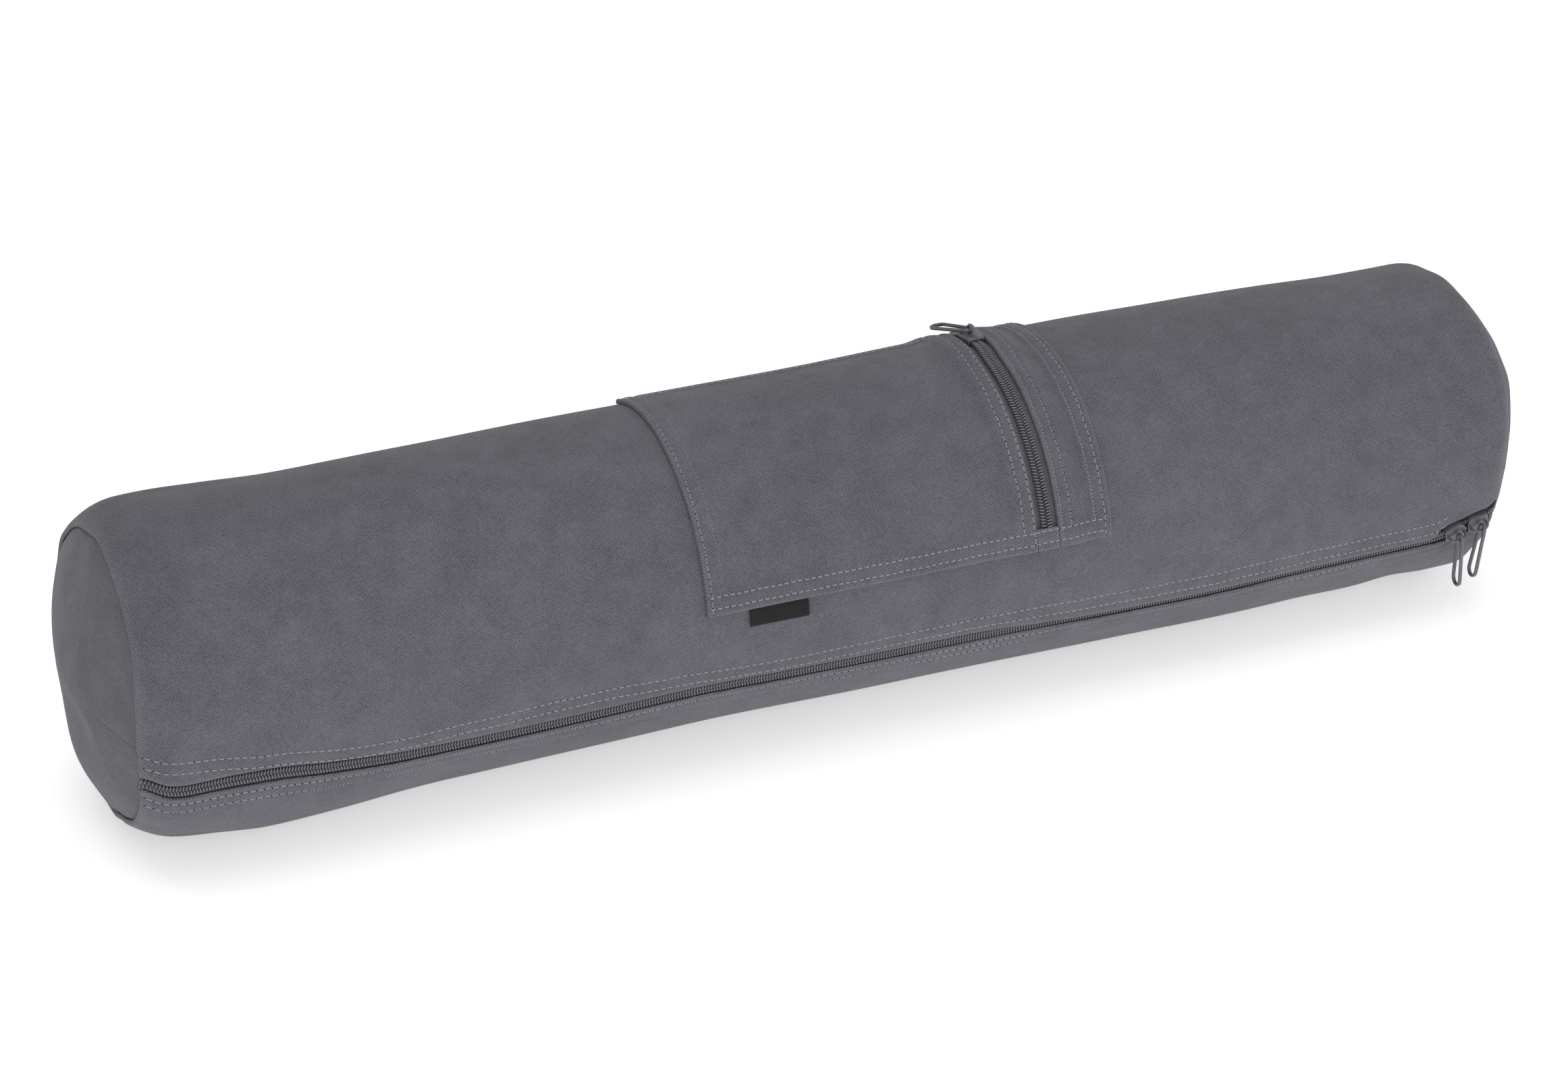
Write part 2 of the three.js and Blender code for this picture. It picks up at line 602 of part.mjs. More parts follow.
function bridgeBar() {
  const foot = PLATE_LOW + SLIDER_PLATE / 2;
  const shoulder = BRIDGE_HEIGHT * BRIDGE_SHOULDER.height;
  const flatEnd = BRIDGE_HALF_SPAN * BRIDGE_SHOULDER.along;
  const path = new THREE.CatmullRomCurve3([
    new THREE.Vector3(-BRIDGE_HALF_SPAN, 0, foot),
    new THREE.Vector3(-BRIDGE_HALF_SPAN, 0, shoulder),
    new THREE.Vector3(-flatEnd, 0, BRIDGE_HEIGHT),
    new THREE.Vector3(flatEnd, 0, BRIDGE_HEIGHT),
    new THREE.Vector3(BRIDGE_HALF_SPAN, 0, shoulder),
    new THREE.Vector3(BRIDGE_HALF_SPAN, 0, foot),
  ]);
  const section = new THREE.Shape();
  section.absarc(0, 0, BRIDGE_RADIUS, 0, 2 * Math.PI);
  return toManifold(new THREE.ExtrudeGeometry(section, { steps: 12, extrudePath: path, curveSegments: 4 }));
}

// A slider in its own frame: its nose towards +X and its bridge up.
function sliderGeometry() {
  const post = new THREE.Shape();
  const noseEnd = SLIDER_LENGTH / 2 - GAP;
  post.moveTo(noseEnd, -POST_WIDTH / 2);
  post.lineTo(noseEnd, POST_WIDTH / 2);
  post.lineTo(noseEnd - POST_LENGTH * POST_POINT_SHARE, POST_WIDTH / 2);
  post.lineTo(noseEnd - POST_LENGTH, 0);
  post.lineTo(noseEnd - POST_LENGTH * POST_POINT_SHARE, -POST_WIDTH / 2);
  post.closePath();
  const beyond = 1;
  const mouthHalf = SLIDER_LENGTH / 2 + beyond;
  const mouth = new THREE.Shape();
  mouth.moveTo(-mouthHalf, -SLIDER_HALF_TAIL + SLIDER_WALL);
  mouth.lineTo(mouthHalf, -SLIDER_HALF_NOSE + SLIDER_WALL);
  mouth.lineTo(mouthHalf, SLIDER_HALF_NOSE - SLIDER_WALL);
  mouth.lineTo(-mouthHalf, SLIDER_HALF_TAIL - SLIDER_WALL);
  mouth.closePath();
  const shell = layer(sliderOutline(0), FLANGE_LOW, PLATE_TOP);
  const room = layer(mouth, FLANGE_LOW - beyond, PLATE_LOW);
  const lowerPlate = layer(sliderOutline(SLIDER_WALL / 2), LOWER_PLATE_LOW, LOWER_PLATE_TOP);
  const postBar = layer(post, LOWER_PLATE_LOW + SLIDER_WALL / 2, PLATE_LOW + SLIDER_PLATE / 2);
  return toGeometry(shell.subtract(room).add(lowerPlate).add(postBar).add(bridgeBar()));
}

// A right-handed frame at a place: along, across and out of the cloth.
function frameAt(origin, along, out) {
  const x = along.clone().addScaledVector(out, -along.dot(out)).normalize();
  const y = new THREE.Vector3().crossVectors(out, x);
  return new THREE.Matrix4().makeBasis(x, y, out).setPosition(origin);
}

function place(piece, frame) {
  frame.decompose(piece.position, piece.quaternion, piece.scale);
}

// The cloth's outward direction, from two short steps along and round it.
function outwards(x, angle, offset) {
  const step = 2;
  const turn = step / BAG_RADIUS;
  const along = skin(x + step, angle, offset).sub(skin(x - step, angle, offset));
  const round = skin(x, angle + turn, offset).sub(skin(x, angle - turn, offset));
  return new THREE.Vector3().crossVectors(along, round).normalize();
}

// A ring pull in its own frame: the eye round the origin and the long way towards +X.
function pullGeometry() {
  const farX = PULL_LENGTH - PULL_EYE - PULL_END;
  const lean = Math.asin((PULL_END - PULL_EYE) / farX);
  const quarter = Math.PI / 2;
  const ring = (path, eye, end) => {
    path.absarc(farX, 0, end, -quarter - lean, quarter + lean, false);
    path.absarc(0, 0, eye, quarter + lean, 3 * quarter - lean, false);
    path.closePath();
    return path;
  };
  const outline = ring(new THREE.Shape(), PULL_EYE, PULL_END);
  outline.holes.push(ring(new THREE.Path(), PULL_EYE_HOLE, PULL_END - PULL_RIM));
  const options = { depth: PULL_THICK, bevelEnabled: false, curveSegments: 8 };
  const plate = new THREE.ExtrudeGeometry(outline, options).translate(0, 0, -PULL_THICK / 2);
  return toGeometry(toManifold(plate));
}

// A hanging pull: its eye is hooked over the bridge bar, square to the bar as nearly as it can hang.
function hangPull(name, pivot, bar, down) {
  const normal = bar.clone().addScaledVector(down, -bar.dot(down)).normalize();
  const slant = Math.acos(THREE.MathUtils.clamp(normal.dot(bar), -1, 1));
  const barReach = BRIDGE_RADIUS / Math.cos(slant) + (PULL_THICK / 2) * Math.tan(slant);
  const hang = Math.max(0, barReach + GAP - PULL_EYE_HOLE);
  const eye = pivot.clone().addScaledVector(down, hang);
  place(addPiece(name, pullGeometry(), materials.metal), frameAt(eye, down, normal));
}

function buildMainSlider(side, x, facing, down) {
  const angle = zipAngle(x);
  const step = 1;
  const along = skin(x + step, zipAngle(x + step), 0).sub(skin(x - step, zipAngle(x - step), 0)).normalize();
  const out = outwards(x, angle, 0);
  const frame = frameAt(skin(x, angle, 0), along.multiplyScalar(facing), out);
  place(addPiece(`main_slider_${side}`, sliderGeometry(), materials.metal), frame);
  const pivot = new THREE.Vector3(0, 0, BRIDGE_HEIGHT).applyMatrix4(frame);
  const bar = new THREE.Vector3().setFromMatrixColumn(frame, 0).multiplyScalar(facing);
  hangPull(`main_pull_${side}`, pivot, bar, down);
}

function buildPocketSlider() {
  const angle = pocketAngle(POCKET_SLIDER_HEIGHT);
  const offset = POCKET_COIL_TOP + SLIDER_BED;
  const out = outwards(POCKET_ZIP_X, angle, offset);
  const step = 1 / BAG_RADIUS;
  const above = skin(POCKET_ZIP_X, angle + step, offset);
  const up = above.sub(skin(POCKET_ZIP_X, angle - step, offset)).normalize();
  const frame = frameAt(skin(POCKET_ZIP_X, angle, offset), up, out);
  place(addPiece('pocket_slider', sliderGeometry(), materials.metal), frame);
  const eyeEdgeHeight = (PLATE_TOP + BRIDGE_HEIGHT - BRIDGE_RADIUS) / 2;
  const eyeEdgeAlong = BRIDGE_HALF_SPAN - BRIDGE_RADIUS - GAP - PULL_RIM / 2;
  const turn = new THREE.Matrix4().makeRotationZ(POCKET_PULL_TURN);
  const dip = new THREE.Matrix4().makeRotationY(POCKET_PULL_DIP);
  const slide = new THREE.Matrix4().makeTranslation(PULL_EYE - PULL_RIM / 2, 0, 0);
  const pull = frame.clone().multiply(new THREE.Matrix4().makeTranslation(eyeEdgeAlong, 0, eyeEdgeHeight));
  pull.multiply(turn).multiply(dip).multiply(slide);
  place(addPiece('pocket_pull', pullGeometry(), materials.metal), pull);
}

buildBody();
buildEndPanel('end_panel_left', -1);
buildEndPanel('end_panel_right', 1);
buildMainZip('upper', 1);
buildMainZip('lower', -1);
buildMainSlider('left', LEFT_SLIDER_X, 1, new THREE.Vector3(0, 0, -1));
buildMainSlider('right', RIGHT_SLIDER_X, -1,
  new THREE.Vector3(-Math.sin(RIGHT_PULL_LEAN), 0, -Math.cos(RIGHT_PULL_LEAN)));
buildPocketCloth();
buildPocketZip('left', -1);
buildPocketZip('right', 1);
buildPocketSlider();
buildLabel();

export default bag;
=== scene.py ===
"""A zipped canvas bag for a rolled yoga mat, lying on its side on a pale floor.

Every length is in metres, written as millimetres times MM. The bag lies along X with its two
sliders towards +X, its long zip on the -Y side and its flattened base on the ground at Z = 0.
"""

import logging
from dataclasses import dataclass
from enum import Enum
from math import cos, pi, radians, sin, tan
from typing import Callable, NamedTuple

import bmesh
import bpy
import numpy as np
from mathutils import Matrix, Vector


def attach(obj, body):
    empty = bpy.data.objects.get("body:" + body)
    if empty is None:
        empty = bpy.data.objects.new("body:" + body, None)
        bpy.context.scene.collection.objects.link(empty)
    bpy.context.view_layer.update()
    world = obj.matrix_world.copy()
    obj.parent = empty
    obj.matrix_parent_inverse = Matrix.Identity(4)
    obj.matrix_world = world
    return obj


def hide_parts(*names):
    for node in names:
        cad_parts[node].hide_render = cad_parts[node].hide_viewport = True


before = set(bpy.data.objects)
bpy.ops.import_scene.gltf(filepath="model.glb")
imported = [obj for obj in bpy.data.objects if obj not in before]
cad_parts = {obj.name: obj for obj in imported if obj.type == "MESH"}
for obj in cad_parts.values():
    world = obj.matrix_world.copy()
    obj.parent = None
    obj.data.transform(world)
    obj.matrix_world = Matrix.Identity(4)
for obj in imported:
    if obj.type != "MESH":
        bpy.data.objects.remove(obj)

MM = 0.001
SAME_PLACE = 0.001 * MM
LOG = logging.getLogger("mat_bag")
Array = np.ndarray
Place = Callable[[Array, Array], Array]


class Swell(NamedTuple):
    """How far the cloth stands out of the plain tube at a place, as shares of the radius."""

    along: float
    top: float
    low: float


class Fold(NamedTuple):
    """A soft dent, or a ridge where depth is negative: its place, reach, slant and depth."""

    along: float
    angle: float
    reach: float
    spread: float
    slant: float
    depth: float


class StitchPlace(NamedTuple):
    """How far the far stitch rows lie from the long zip's middle at a place along it."""

    along: float
    upper: float
    lower: float


class ZipPlace(NamedTuple):
    """The long zip's angle round the bag at a place along it."""

    along: float
    angle: float


class SlotEdge(NamedTuple):
    """How much of the slot's half width each canvas edge leaves open."""

    along: float
    upper: float
    lower: float


class Ridge(NamedTuple):
    """Where the left end panel is creased: a height, and the place across, in seam radii."""

    height: float
    across: float


class Lean(NamedTuple):
    """How far both end seams lean towards +X at an angle round the bag, in radii."""

    angle: float
    left: float
    right: float


class Wave(NamedTuple):
    """A slack wave: its height, and what two sines take for x, for the angle and by themselves."""

    height: float
    along: tuple
    round: tuple


class Swelling(NamedTuple):
    """A soft swelling of an end panel, or a hollow where height is negative, in seam radii."""

    height: float
    up: float
    up_reach: float
    across: float
    across_reach: float


class StitchRow(NamedTuple):
    """A stitch row of the pocket: whether it runs round the bag, its place, start and end."""

    goes_round: bool
    place: float
    start: float
    end: float


class SoftBox(NamedTuple):
    """A square light: its name, where it hangs, its side and its power in watts."""

    name: str
    place: tuple
    size: float
    power: float


class Seam(NamedTuple):
    """How the tube's end turns in: its drop, and the length over which it rounds."""

    drop: float
    round: float


def in_mm(*lengths: float) -> tuple:
    """Lengths given in millimetres, in metres."""
    return tuple(length * MM for length in lengths)


def column(rows: tuple, name: str) -> Array:
    """One named column of a table as an array."""
    return np.array([getattr(row, name) for row in rows])


def look_up(rows: tuple, key: str, value: str, place: Array) -> Array:
    """A table's column at places, by a smooth curve that never leaves its rows' range.

    Each stretch between rows is a cubic whose end slopes are the harmonic mean of the two
    neighbouring chords' slopes, or level where these change sign.

    Args:
        rows: The table, a tuple of rows with named fields.
        key: The field that holds the places.
        value: The field that is looked up.
        place: The places.

    Returns:
        The values, in the shape of place.
    """
    xs, ys = column(rows, key), column(rows, value)
    chords = np.diff(ys) / np.diff(xs)
    before, after = chords[:-1], chords[1:]
    same = before * after > 0
    total = np.where(same, before + after, 1.0)
    slopes = np.concatenate([[0.0], np.where(same, 2 * before * after / total, 0.0), [0.0]])
    inside = np.clip(place, xs[0], xs[-1])
    i = np.clip(np.searchsorted(xs, inside, side="right") - 1, 0, len(xs) - 2)
    width = xs[i + 1] - xs[i]
    t = (inside - xs[i]) / width
    rise = (ys[i + 1] - ys[i]) * t * t * (3 - 2 * t)
    return ys[i] + rise + width * t * (1 - t) * (slopes[i] * (1 - t) - slopes[i + 1] * t)


def ease(value: Array, low: float, high: float) -> Array:
    """A smooth 0 to 1 between two limits: 3t² - 2t³."""
    t = np.clip((value - low) / (high - low), 0, 1)
    return t * t * (3 - 2 * t)


def squared_off(value: Array, power: float) -> Array:
    """A sine or cosine pushed towards 1 and -1: its size to a power, with its sign."""
    return np.sign(value) * np.abs(value) ** power


def bump(distance: Array, width: float) -> Array:
    """A bell: e to the power of minus the squared share of the width."""
    return np.exp(-((distance / width) ** 2))


def inset(x: Array, x_low: float, x_high: float, height: Array, top: float) -> Array:
    """How far a place lies inside the nearest edge of a rectangle that stands on height 0."""
    return np.minimum(np.minimum(x - x_low, x_high - x), np.minimum(height, top - height))


def graded(length: float, fine: tuple, coarse: float) -> Array:
    """Places from 0 to a length: given fine steps at both ends and even ones between.

    Args:
        length: The whole length.
        fine: Places near each end, rising from 0.
        coarse: The step between them.

    Returns:
        The places, rising from 0 to length.
    """
    ends = np.array(fine)
    count = max(2, round((length - 2 * ends[-1]) / coarse))
    middle = np.linspace(ends[-1], length - ends[-1], count + 1)[1:-1]
    return np.concatenate([ends, middle, (length - ends)[::-1]])


@dataclass(frozen=True)
class BagForm:
    """The surface of the filled bag, on which every piece of cloth lies."""

    length: float = 660 * MM
    radius: float = 75 * MM
    base_sag: float = 3 * MM
    base_rounding: float = 1.4 * MM
    canvas: float = 1.6 * MM
    gap: float = 0.3 * MM
    left_seam: Seam = Seam(7 * MM, 22 * MM)
    right_seam: Seam = Seam(4.5 * MM, 9 * MM)
    seam_curve: float = 2.3
    waves: tuple = (
        Wave(0.22 * MM, (31, 2.1, 0.0), (-9, 3, 0.6)),
        Wave(0.13 * MM, (74, -3, 1.1), (0, 5, 0.3 + pi / 2)),
    )
    quiet_angle: float = radians(-20)
    quiet_reach: float = radians(14)
    pucker_height: float = 0.275 * MM
    pucker_reach: float = 16 * MM
    rise_length: float = 26 * MM
    rise_ease: float = 14 * MM
    rise_slope: float = radians(18)
    swells: tuple = (
        Swell(-0.50, 0.005, 0.020),
        Swell(-0.45, 0.014, 0.030),
        Swell(-0.41, 0.000, 0.050),
        Swell(-0.36, -0.020, 0.035),
        Swell(-0.28, -0.010, 0.000),
        Swell(-0.16, -0.004, -0.010),
        Swell(-0.08, -0.006, -0.022),
        Swell(0.02, -0.004, -0.008),
        Swell(0.12, 0.012, 0.000),
        Swell(0.22, 0.022, 0.012),
        Swell(0.30, 0.008, 0.024),
        Swell(0.38, -0.006, 0.016),
        Swell(0.45, -0.026, 0.010),
        Swell(0.50, -0.024, 0.004),
    )
    folds: tuple = (
        Fold(-0.505, -68, 0.034, 24, 0.0000, 0.064),
        Fold(-0.483, 6, 0.022, 9, 0.0020, 0.034),
        Fold(-0.468, -52, 0.030, 8, -0.0012, 0.030),
        Fold(-0.440, 106, 0.060, 5, 0.0000, 0.012),
        Fold(0.440, 84, 0.020, 26, 0.0012, 0.014),
        Fold(0.430, -50, 0.018, 14, -0.0014, 0.024),
        Fold(0.350, -44, 0.022, 12, -0.0010, 0.014),
        Fold(-0.300, -47, 0.030, 10, 0.0010, 0.012),
    )
    zip_path: tuple = (
        ZipPlace(-0.500, -13.4),
        ZipPlace(-0.483, -15.6),
        ZipPlace(-0.445, -15.0),
        ZipPlace(-0.420, -14.9),
        ZipPlace(-0.373, -18.2),
        ZipPlace(-0.317, -21.7),
        ZipPlace(-0.270, -22.8),
        ZipPlace(-0.130, -22.2),
        ZipPlace(-0.060, -23.5),
        ZipPlace(0.100, -24.0),
        ZipPlace(0.240, -25.0),
        ZipPlace(0.330, -23.6),
        ZipPlace(0.460, -23.2),
    )
    leans: tuple = (
        Lean(-90, 0, 0),
        Lean(0, 0, 0),
        Lean(18, 0.020, 0.045),
        Lean(42, 0.060, 0.085),
        Lean(84, 0.070, 0.064),
        Lean(116, 0.035, 0.060),
        Lean(160, 0, 0),
        Lean(270, 0, 0),
    )
    lean_reach: float = 40 * MM

    @property
    def half(self) -> float:
        """Half of the length between the two end seams."""
        return self.length / 2

    @property
    def axis_height(self) -> float:
        """The height of the tube's axis over the ground."""
        return self.radius - self.base_sag

    def swell(self, x: Array, angle: Array) -> Array:
        """How far the cloth swells: a top and a low column, each over its own half round.

        Args:
            x: Places along the bag.
            angle: Angles round it, in radians.

        Returns:
            The swell, outwards.
        """
        top = np.maximum(0, np.cos(angle - radians(105))) ** 2
        low = np.maximum(0, np.cos(angle + radians(45))) ** 2
        place = x / self.length
        share = look_up(self.swells, "along", "top", place) * top
        return (share + look_up(self.swells, "along", "low", place) * low) * self.radius

    def seam_turn(self, x: Array) -> Array:
        """How far the tube's end turns in: the drop times a power of the share left to go.

        Args:
            x: Places along the bag.

        Returns:
            The drop, inwards.
        """
        drop = np.where(x < 0, self.left_seam.drop, self.right_seam.drop)
        length = np.where(x < 0, self.left_seam.round, self.right_seam.round)
        share = np.clip((self.half - np.abs(x)) / length, 0, 1)
        return drop * (1 - share) ** self.seam_curve

    def fold_depth(self, x: Array, angle: Array) -> Array:
        """The sum of the table's bells, each slanted along the bag as it goes round.

        Args:
            x: Places along the bag.
            angle: Angles round it, in radians.

        Returns:
            The depth, inwards.
        """
        degrees = np.degrees(angle)
        depth = np.zeros(np.broadcast(x, angle).shape)
        for fold in self.folds:
            turn = np.mod(degrees - fold.angle + 180, 360) - 180
            along = x / self.length - fold.along - fold.slant * turn
            depth = depth + fold.depth * self.radius * bump(along, fold.reach) * bump(turn, fold.spread)
        return depth

    def slack(self, x: Array, angle: Array) -> Array:
        """Slight waves of the cloth: long slanting sines, and puckers that fade from each seam.

        Args:
            x: Places along the bag.
            angle: Angles round it, in radians.

        Returns:
            The waves, outwards.
        """
        waves = 0.0
        for wave in self.waves:
            first, second = (np.sin(a * x + b * angle + c) for a, b, c in (wave.along, wave.round))
            waves = waves + wave.height * first * second
        from_seam = self.half - np.abs(x)
        fade = bump(np.maximum(from_seam, 0), self.pucker_reach)
        round_seam = np.sin(13 * angle + 0.7) + 0.6 * np.sin(21 * angle + 40 * x)
        quiet = 1 - bump(angle - self.quiet_angle, self.quiet_reach) * (x > 0)
        return (waves + self.pucker_height * fade * round_seam) * quiet

    def lean(self, x: Array, angle: Array) -> Array:
        """How far the cloth near an end leans towards +X: the table, eased in to the seam.

        Args:
            x: Places along the bag.
            angle: Angles round it, in radians.

        Returns:
            The lean along X.
        """
        degrees = np.mod(np.degrees(angle) + 90, 360) - 90
        left = look_up(self.leans, "angle", "left", degrees)
        right = look_up(self.leans, "angle", "right", degrees)
        near = ease(np.abs(x), self.half - self.lean_reach, self.half)
        return np.where(x < 0, left, right) * self.radius * near

    def reach(self, x: Array, angle: Array) -> Array:
        """The cloth's distance from the tube's axis."""
        return (
            self.radius
            + self.swell(x, angle)
            - self.seam_turn(x)
            - self.fold_depth(x, angle)
            + self.slack(x, angle)
        )

    def above_ground(self, z: Array, offset: Array) -> Array:
        """A height kept off the ground by a hyperbola that meets it softly."""
        over = z + offset
        return -offset + (over + np.sqrt(over**2 + self.base_rounding**2)) / 2

    def point(self, x: Array, angle: Array, offset: Array) -> Array:
        """A point of the cloth, offset outwards from its face.

        The point is turned about the tube's axis by the angle, which is 0 at the front and
        90 degrees at the top, at the reach plus the offset.

        Args:
            x: Places along the bag.
            angle: Angles round it, in radians.
            offset: Distances outwards.

        Returns:
            The points, with their coordinates last.
        """
        x, angle, offset = np.broadcast_arrays(x, angle, offset)
        reach = self.reach(x, angle) + offset
        z = self.above_ground(self.axis_height + reach * np.sin(angle), offset)
        return np.stack([x + self.lean(x, angle), -reach * np.cos(angle), z], -1)

    def zip_climb(self, x: Array) -> Array:
        """How steeply the long zip climbs: nothing, then evenly up to its full slope."""
        start = self.half - self.rise_length
        return tan(self.rise_slope) * np.clip((x - start + self.rise_ease) / self.rise_ease, 0, 1)

    def zip_angle(self, x: Array) -> Array:
        """The long zip's angle: its table, then a parabola and a straight climb to its end.

        Args:
            x: Places along the bag.

        Returns:
            The angles, in radians.
        """
        start = self.half - self.rise_length
        eased = np.clip((x - start + self.rise_ease) / self.rise_ease, 0, 1)
        run = eased * eased * self.rise_ease / 2 + np.maximum(0, x - start)
        level = np.radians(look_up(self.zip_path, "along", "angle", x / self.length))
        return level + tan(self.rise_slope) * run / self.radius

    def beside_zip(self, x: Array, distance: Array) -> Array:
        """The angle at a distance across the long zip, above its middle line where positive."""
        return self.zip_angle(x) + distance * np.hypot(1, self.zip_climb(x)) / self.radius


class Surface:
    """Grids of quads, gathered as whole arrays and made into one mesh."""

    def __init__(self) -> None:
        """Starts with nothing gathered."""
        self.points: list[Array] = []
        self.faces: list[Array] = []
        self.cloth: list[Array] = []
        self.wear: list[Array] = []
        self.finishes: list[Array] = []
        self.count = 0

    def _keep(
        self, points: Array, faces: Array, cloth: Array | None, wear: Array | None, finish: int
    ) -> None:
        """Adds points and faces, with the cloth coordinates and the wear of each point.

        Args:
            points: The points, with their coordinates last.
            faces: Quads of their numbers.
            cloth: Each point's cloth coordinates, or none.
            wear: How worn each point is, or none.
            finish: Which of the piece's finishes they have.
        """
        flat = points.reshape(-1, 3)
        woven = np.zeros((len(flat), 2)) if cloth is None else cloth.reshape(-1, 2)
        worn = np.broadcast_to(0.0 if wear is None else wear, points.shape[:-1])
        self.points.append(flat)
        self.faces.append(faces + self.count)
        self.cloth.append(woven)
        self.wear.append(worn.reshape(-1))
        self.finishes.append(np.full(len(faces), finish))
        self.count += len(flat)

    def wall(self, outer: Array, inner: Array, cloth: Array, wear: Array | None = None) -> None:
        """A sheet with a thickness: two grids of points, joined round their four edges.

        Args:
            outer: The outer face's points, in rows and columns.
            inner: The inner face's points, in the same order.
            cloth: The cloth coordinates of both faces, in metres along the weave.
            wear: How worn each point is, from 0 to 1.
        """
        rows, columns = outer.shape[:2]
        index = np.arange(rows * columns).reshape(rows, columns)
        under = index + rows * columns
        faces = [self._quads(index), self._quads(under)[:, ::-1]]
        edges = (
            (index[:, 0], under[:, 0]),
            (under[:, -1], index[:, -1]),
            (under[0], index[0]),
            (index[-1], under[-1]),
        )
        faces += [self._quads(np.stack(edge)) for edge in edges]
        both = None if wear is None else np.concatenate([np.broadcast_to(wear, outer.shape[:2])] * 2)
        points = np.concatenate([outer, inner])
        self._keep(points, np.concatenate(faces), np.concatenate([cloth, cloth]), both, 0)

    def tubes(
        self, rings: Array, closed: bool = False, finish: int = 0, cloth: Array | None = None
    ) -> None:
        """Tubes of equal make: each is rings of points, capped at both ends or joined in a loop.

        Args:
            rings: Points by tube, ring and side. The number of sides is even.
            closed: True where the last ring joins the first.
            finish: Which of the piece's finishes they have.
            cloth: The cloth coordinates, where the finish needs them.
        """
        count, length, sides = rings.shape[:3]
        index = np.arange(length * sides).reshape(length, sides)
        loop = np.concatenate([index, index[:, :1]], 1)
        if closed:
            loop = np.concatenate([loop, loop[:1]])
        faces = [self._quads(loop)]
        if not closed:
            fan = np.arange(1, sides // 2)
            cap = np.stack([0 * fan, 2 * fan - 1, 2 * fan, 2 * fan + 1], -1)
            faces += [cap[:, ::-1] if sides > 3 else cap, cap + (length - 1) * sides]
        one = np.concatenate(faces)
        shift = np.arange(count)[:, None, None] * (length * sides)
        self._keep(rings, (one[None] + shift).reshape(-1, 4), cloth, None, finish)

    @staticmethod
    def _quads(index: Array) -> Array:
        """The quads of a grid of point numbers.

        Args:
            index: Point numbers in rows and columns.

        Returns:
            Four numbers for each quad.
        """
        a, b = index[:-1, :-1], index[:-1, 1:]
        c, d = index[1:, 1:], index[1:, :-1]
        return np.stack([a, b, c, d], -1).reshape(-1, 4)

    def build(
        self, name: str, finishes: list, body: str, slot: str, stands_for: tuple = (), weld: bool = False
    ) -> None:
        """Makes the mesh object, turns its faces outwards and rides it on a body.

        Args:
            name: The piece's name.
            finishes: Its materials.
            body: The body of the frame that it rides on.
            slot: The record's material slot; not used.
            stands_for: The nodes of the frame that it replaces.
            weld: True where points that coincide are merged.
        """
        points, quads = np.concatenate(self.points), np.concatenate(self.faces)
        a, b, c, d = (points[quads[:, k]] for k in range(4))
        volume = np.einsum("ij,ij->", a, np.cross(b, c)) + np.einsum("ij,ij->", a, np.cross(c, d))
        if volume < 0:
            quads = quads[:, ::-1]
        mesh = bpy.data.meshes.new(name)
        mesh.vertices.add(len(points))
        mesh.vertices.foreach_set("co", points.ravel().astype(np.float32))
        mesh.loops.add(quads.size)
        mesh.loops.foreach_set("vertex_index", quads.ravel().astype(np.int32))
        mesh.polygons.add(len(quads))
        mesh.polygons.foreach_set("loop_start", np.arange(0, quads.size, 4, dtype=np.int32))
        mesh.polygons.foreach_set("material_index", np.concatenate(self.finishes).astype(np.int32))
        mesh.update(calc_edges=True)
        layer = mesh.uv_layers.new(name="cloth")
        corners = np.concatenate(self.cloth)[quads.ravel()]
        layer.data.foreach_set("uv", corners.ravel().astype(np.float32))
        wear = mesh.attributes.new("wear", "FLOAT", "POINT")
        wear.data.foreach_set("value", np.concatenate(self.wear).astype(np.float32))
        mesh.shade_smooth()
        for finish in finishes:
            mesh.materials.append(finish)
        piece = bpy.data.objects.new(name, mesh)
        bpy.context.scene.collection.objects.link(piece)
        if weld:
            self._weld(mesh)
        mesh.validate()
        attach(piece, body)
        if stands_for:
            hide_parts(*stands_for)
        triangles = sum(len(polygon.vertices) - 2 for polygon in mesh.polygons)
        LOG.info("%s: %d triangles on %s", name, triangles, body)

    @staticmethod
    def _weld(mesh: bpy.types.Mesh) -> None:
        """Merges the points of a mesh that coincide.

        Args:
            mesh: The mesh, which is changed.
        """
        work = bmesh.new()
        work.from_mesh(mesh)
        bmesh.ops.remove_doubles(work, verts=work.verts, dist=SAME_PLACE)
        work.to_mesh(mesh)
        work.free()


def unit(vectors: Array) -> Array:
    """Vectors at length 1."""
    return vectors / np.maximum(np.linalg.norm(vectors, axis=-1, keepdims=True), 1e-12)


def outward(place: Place, u: Array, v: Array, step: float = 0.4 * MM) -> tuple[Array, Array]:
    """The way along a surface and the way out of it, from short steps on both sides.

    Args:
        place: A function of two parameters, each in metres, that gives points.
        u: First parameters, along.
        v: Second parameters.
        step: How short the steps are.

    Returns:
        The unit tangents along u, and the unit normals.
    """
    along = unit(place(u + step, v) - place(u - step, v))
    across = unit(place(u, v + step) - place(u, v - step))
    return along, unit(np.cross(along, across))


def sweep(path: Array, side: Array, up: Array, section: Array) -> Array:
    """A section carried along a path: each point plus the section's two coordinates.

    Args:
        path: Points, with rings on the second last axis.
        side: The section's first direction at each of them.
        up: Its second direction.
        section: The section's points, (sides, 2), or one section for each ring.

    Returns:
        The rings of points.
    """
    shape = section if section.ndim > 2 else section[None]
    return path[..., None, :] + shape[..., :1] * side[..., None, :] + shape[..., 1:] * up[..., None, :]


def circle(sides: int, radius: float) -> Array:
    """Points evenly round a circle."""
    turn = np.arange(sides) * 2 * pi / sides
    return radius * np.stack([np.cos(turn), np.sin(turn)], -1)


class Weave(Enum):
    """The ways in which the threads of a cloth cross."""

    PLAIN = "plain"
    RIBBED = "ribbed"


